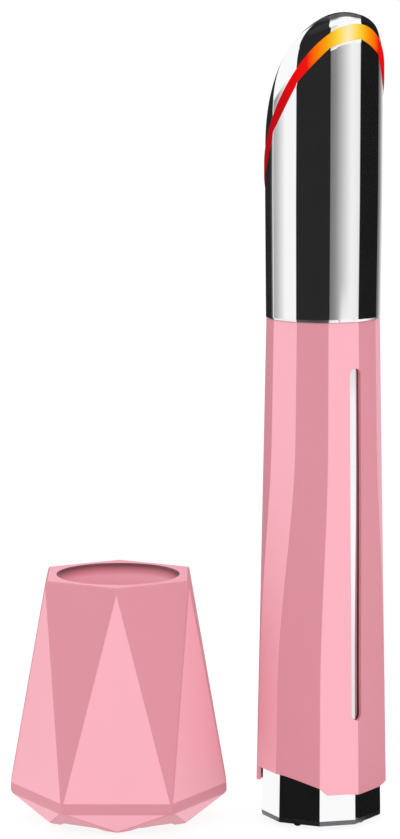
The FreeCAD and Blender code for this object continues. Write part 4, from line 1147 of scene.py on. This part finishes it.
class MASSAGER_OT_studio(bpy.types.Operator):
    """Set the camera, the floor, the lamps and a reflection tent for the chrome"""
    bl_idname = "massager.studio"
    bl_label = "Studio"

    def execute(self, context):
        scene = context.scene
        scene.view_settings.view_transform = "Standard"
        self.camera(scene)
        self.world(scene)
        self.floor(scene)
        self.tent(scene)
        for name, place, power in LAMPS:
            self.lamp(scene, name, place, power)
        return {"FINISHED"}

    def camera(self, scene):
        """A long lens that holds the whole set, from a little above the table."""
        look = settings()
        data = bpy.data.cameras.new("camera")
        camera = bpy.data.objects.new("camera", data)
        scene.collection.objects.link(camera)
        distance, rise = look.camera_distance, look.camera_elevation
        back = Vector((0, -math.cos(rise), math.sin(rise)))
        camera.location = VIEW_CENTRE + back * distance
        camera.rotation_mode = "QUATERNION"
        camera.rotation_quaternion = (-back).to_track_quat("-Z", "Y")
        data.lens = data.sensor_width * distance / VIEW_HEIGHT
        data.clip_start, data.clip_end = 0.01, 50
        scene.camera = camera

    def seen_directly(self, tree):
        """1 for rays from the camera, and for those mirrored or passed on by the object."""
        path = add_node(tree, "ShaderNodeLightPath")
        either = add_node(tree, "ShaderNodeMath", {0: path.outputs["Is Camera Ray"],
                                                   1: path.outputs["Is Glossy Ray"]},
                          operation="MAXIMUM")
        return add_node(tree, "ShaderNodeMath", {0: either.outputs[0],
                                                 1: path.outputs["Is Transmission Ray"]},
                        operation="MAXIMUM")

    def world(self, scene):
        """Even white light all round, which is also the ground that is seen."""
        world = bpy.data.worlds.new("studio")
        world.use_nodes = True
        tree = world.node_tree
        tree.nodes.clear()
        seen = self.seen_directly(tree)
        strength = add_node(tree, "ShaderNodeMapRange",
                            {"Value": seen.outputs[0], "To Min": WORLD_LIGHT[0],
                             "To Max": WORLD_LIGHT[1]})
        light = add_node(tree, "ShaderNodeBackground",
                         {"Color": rgba("FFFFFF"), "Strength": strength.outputs["Result"]})
        add_node(tree, "ShaderNodeOutputWorld", {"Surface": light.outputs[0]})
        scene.world = world

    def floor(self, scene):
        """A white sheet that takes the shadows and glows enough to stay white."""
        corners = [(x * FLOOR_REACH, y * FLOOR_REACH, -FLOOR_DROP)
                   for x, y in ((-1, -1), (1, -1), (1, 1), (-1, 1))]
        mesh = bpy.data.meshes.new("floor")
        mesh.from_pydata(corners, [], [(0, 1, 2, 3)])
        floor = bpy.data.objects.new("floor", mesh)
        scene.collection.objects.link(floor)
        material, tree = new_material("white paper sweep")
        paper = add_node(tree, "ShaderNodeBsdfDiffuse", {"Color": rgba("F1F1F1")})
        glow = add_node(tree, "ShaderNodeEmission",
                        {"Color": rgba("FFFFFF"), "Strength": PAPER_LIGHT})
        seen = self.seen_directly(tree)
        lit = add_node(tree, "ShaderNodeMapRange",
                       {"Value": seen.outputs[0], "To Min": PAPER_GLOW[0],
                        "To Max": PAPER_GLOW[1]})
        sweep = add_node(tree, "ShaderNodeMixShader", {0: lit.outputs["Result"],
                                                       1: paper.outputs[0], 2: glow.outputs[0]})
        add_node(tree, "ShaderNodeOutputMaterial", {"Surface": sweep.outputs[0]})
        mesh.materials.append(material)

    def tent(self, scene):
        """Cloths and lit panels that only mirror rays see, so that the chrome shows them."""
        rings, row_of_ring = [[WAND + Vector((0, 0, TENT_TABLE))]], []
        radius, height, rise = 0.0, TENT_TABLE, 0.0
        for row, (part, end, _) in enumerate(TENT_ROWS):
            steps = ROOF_STEPS if part == "roof" else 1
            start = rise
            for step in range(1, steps + 1):
                if part == "table":
                    radius = end
                elif part == "wall":
                    height = end
                else:
                    rise = blend(start, math.radians(end), step / steps)
                    radius = TENT_RADIUS * math.cos(rise)
                    height = TENT_EYE + TENT_RADIUS * math.sin(rise)
                centre = WAND + Vector((0, 0, height))
                at_top = (part, end, step) == ("roof", 90, steps)
                rings.append([centre] if at_top else
                             [centre + p.to_3d() for p in circle(radius, TENT_STEPS)])
                row_of_ring.append(row)
        tent = lathe("tent", rings, closed=False)
        tent.data.shade_smooth()
        for row, (_, _, stops) in enumerate(TENT_ROWS):
            tent.data.materials.append(self.panels(f"cloth and lit panels, row {row + 1}", stops))
        for i, face in enumerate(tent.data.polygons):
            face.material_index = row_of_ring[i // TENT_STEPS]
        tent.visible_camera = False
        tent.visible_diffuse = False
        tent.visible_shadow = False
        tent.visible_transmission = False

    def panels(self, name, brightness):
        """Light that changes with the turn round the wand."""
        material, tree = new_material(name)
        parts = add_node(tree, "ShaderNodeSeparateXYZ", {0: from_wand_axis(tree).outputs[0]})
        front = add_node(tree, "ShaderNodeMath", {0: parts.outputs["Y"], 1: -1.0},
                         operation="MULTIPLY")
        turn = add_node(tree, "ShaderNodeMath", {0: parts.outputs["X"], 1: front.outputs[0]},
                        operation="ARCTAN2")
        share = add_node(tree, "ShaderNodeMapRange",
                         {"Value": turn.outputs[0], "From Min": -math.pi, "From Max": math.pi})
        ramp = add_node(tree, "ShaderNodeValToRGB", {"Fac": share.outputs["Result"]})
        set_stops(ramp, [((degrees + 180) / 360, (value, value, value, 1))
                         for degrees, value in brightness])
        glow = add_node(tree, "ShaderNodeEmission", {"Color": ramp.outputs["Color"]})
        add_node(tree, "ShaderNodeOutputMaterial", {"Surface": glow.outputs[0]})
        return material

    def lamp(self, scene, name, place, power):
        """A square softbox that faces the middle of the view."""
        data = bpy.data.lights.new(name, "AREA")
        data.shape = "SQUARE"
        data.size = LAMP_SIZE
        data.energy = power
        lamp = bpy.data.objects.new(name, data)
        scene.collection.objects.link(lamp)
        lamp.location = place
        aim = VIEW_CENTRE - Vector(place)
        lamp.rotation_mode = "QUATERNION"
        lamp.rotation_quaternion = aim.to_track_quat("-Z", "Y")


OPERATORS = (MASSAGER_OT_barrel, MASSAGER_OT_tip, MASSAGER_OT_ring, MASSAGER_OT_sleeve,
             MASSAGER_OT_handle, MASSAGER_OT_inside, MASSAGER_OT_stand, MASSAGER_OT_studio)


class MASSAGER_PT_panel(bpy.types.Panel):
    """Buttons and settings for the massager"""
    bl_idname = "MASSAGER_PT_panel"
    bl_label = "Massager"
    bl_space_type = "VIEW_3D"
    bl_region_type = "UI"
    bl_category = "Massager"

    def draw(self, context):
        for name in MassagerSettings.__annotations__:
            self.layout.prop(context.scene.massager, name)
        for operator in OPERATORS:
            self.layout.operator(operator.bl_idname)


CLASSES = (MassagerSettings, *OPERATORS, MASSAGER_PT_panel)


def register():
    for cls in CLASSES:
        bpy.utils.register_class(cls)
    bpy.types.Scene.massager = bpy.props.PointerProperty(type=MassagerSettings)


def unregister():
    del bpy.types.Scene.massager
    for cls in reversed(CLASSES):
        bpy.utils.unregister_class(cls)


def main():
    register()
    for operator in OPERATORS:
        group, name = operator.bl_idname.split(".")
        getattr(getattr(bpy.ops, group), name)()


if __name__ == "__main__":
    main()
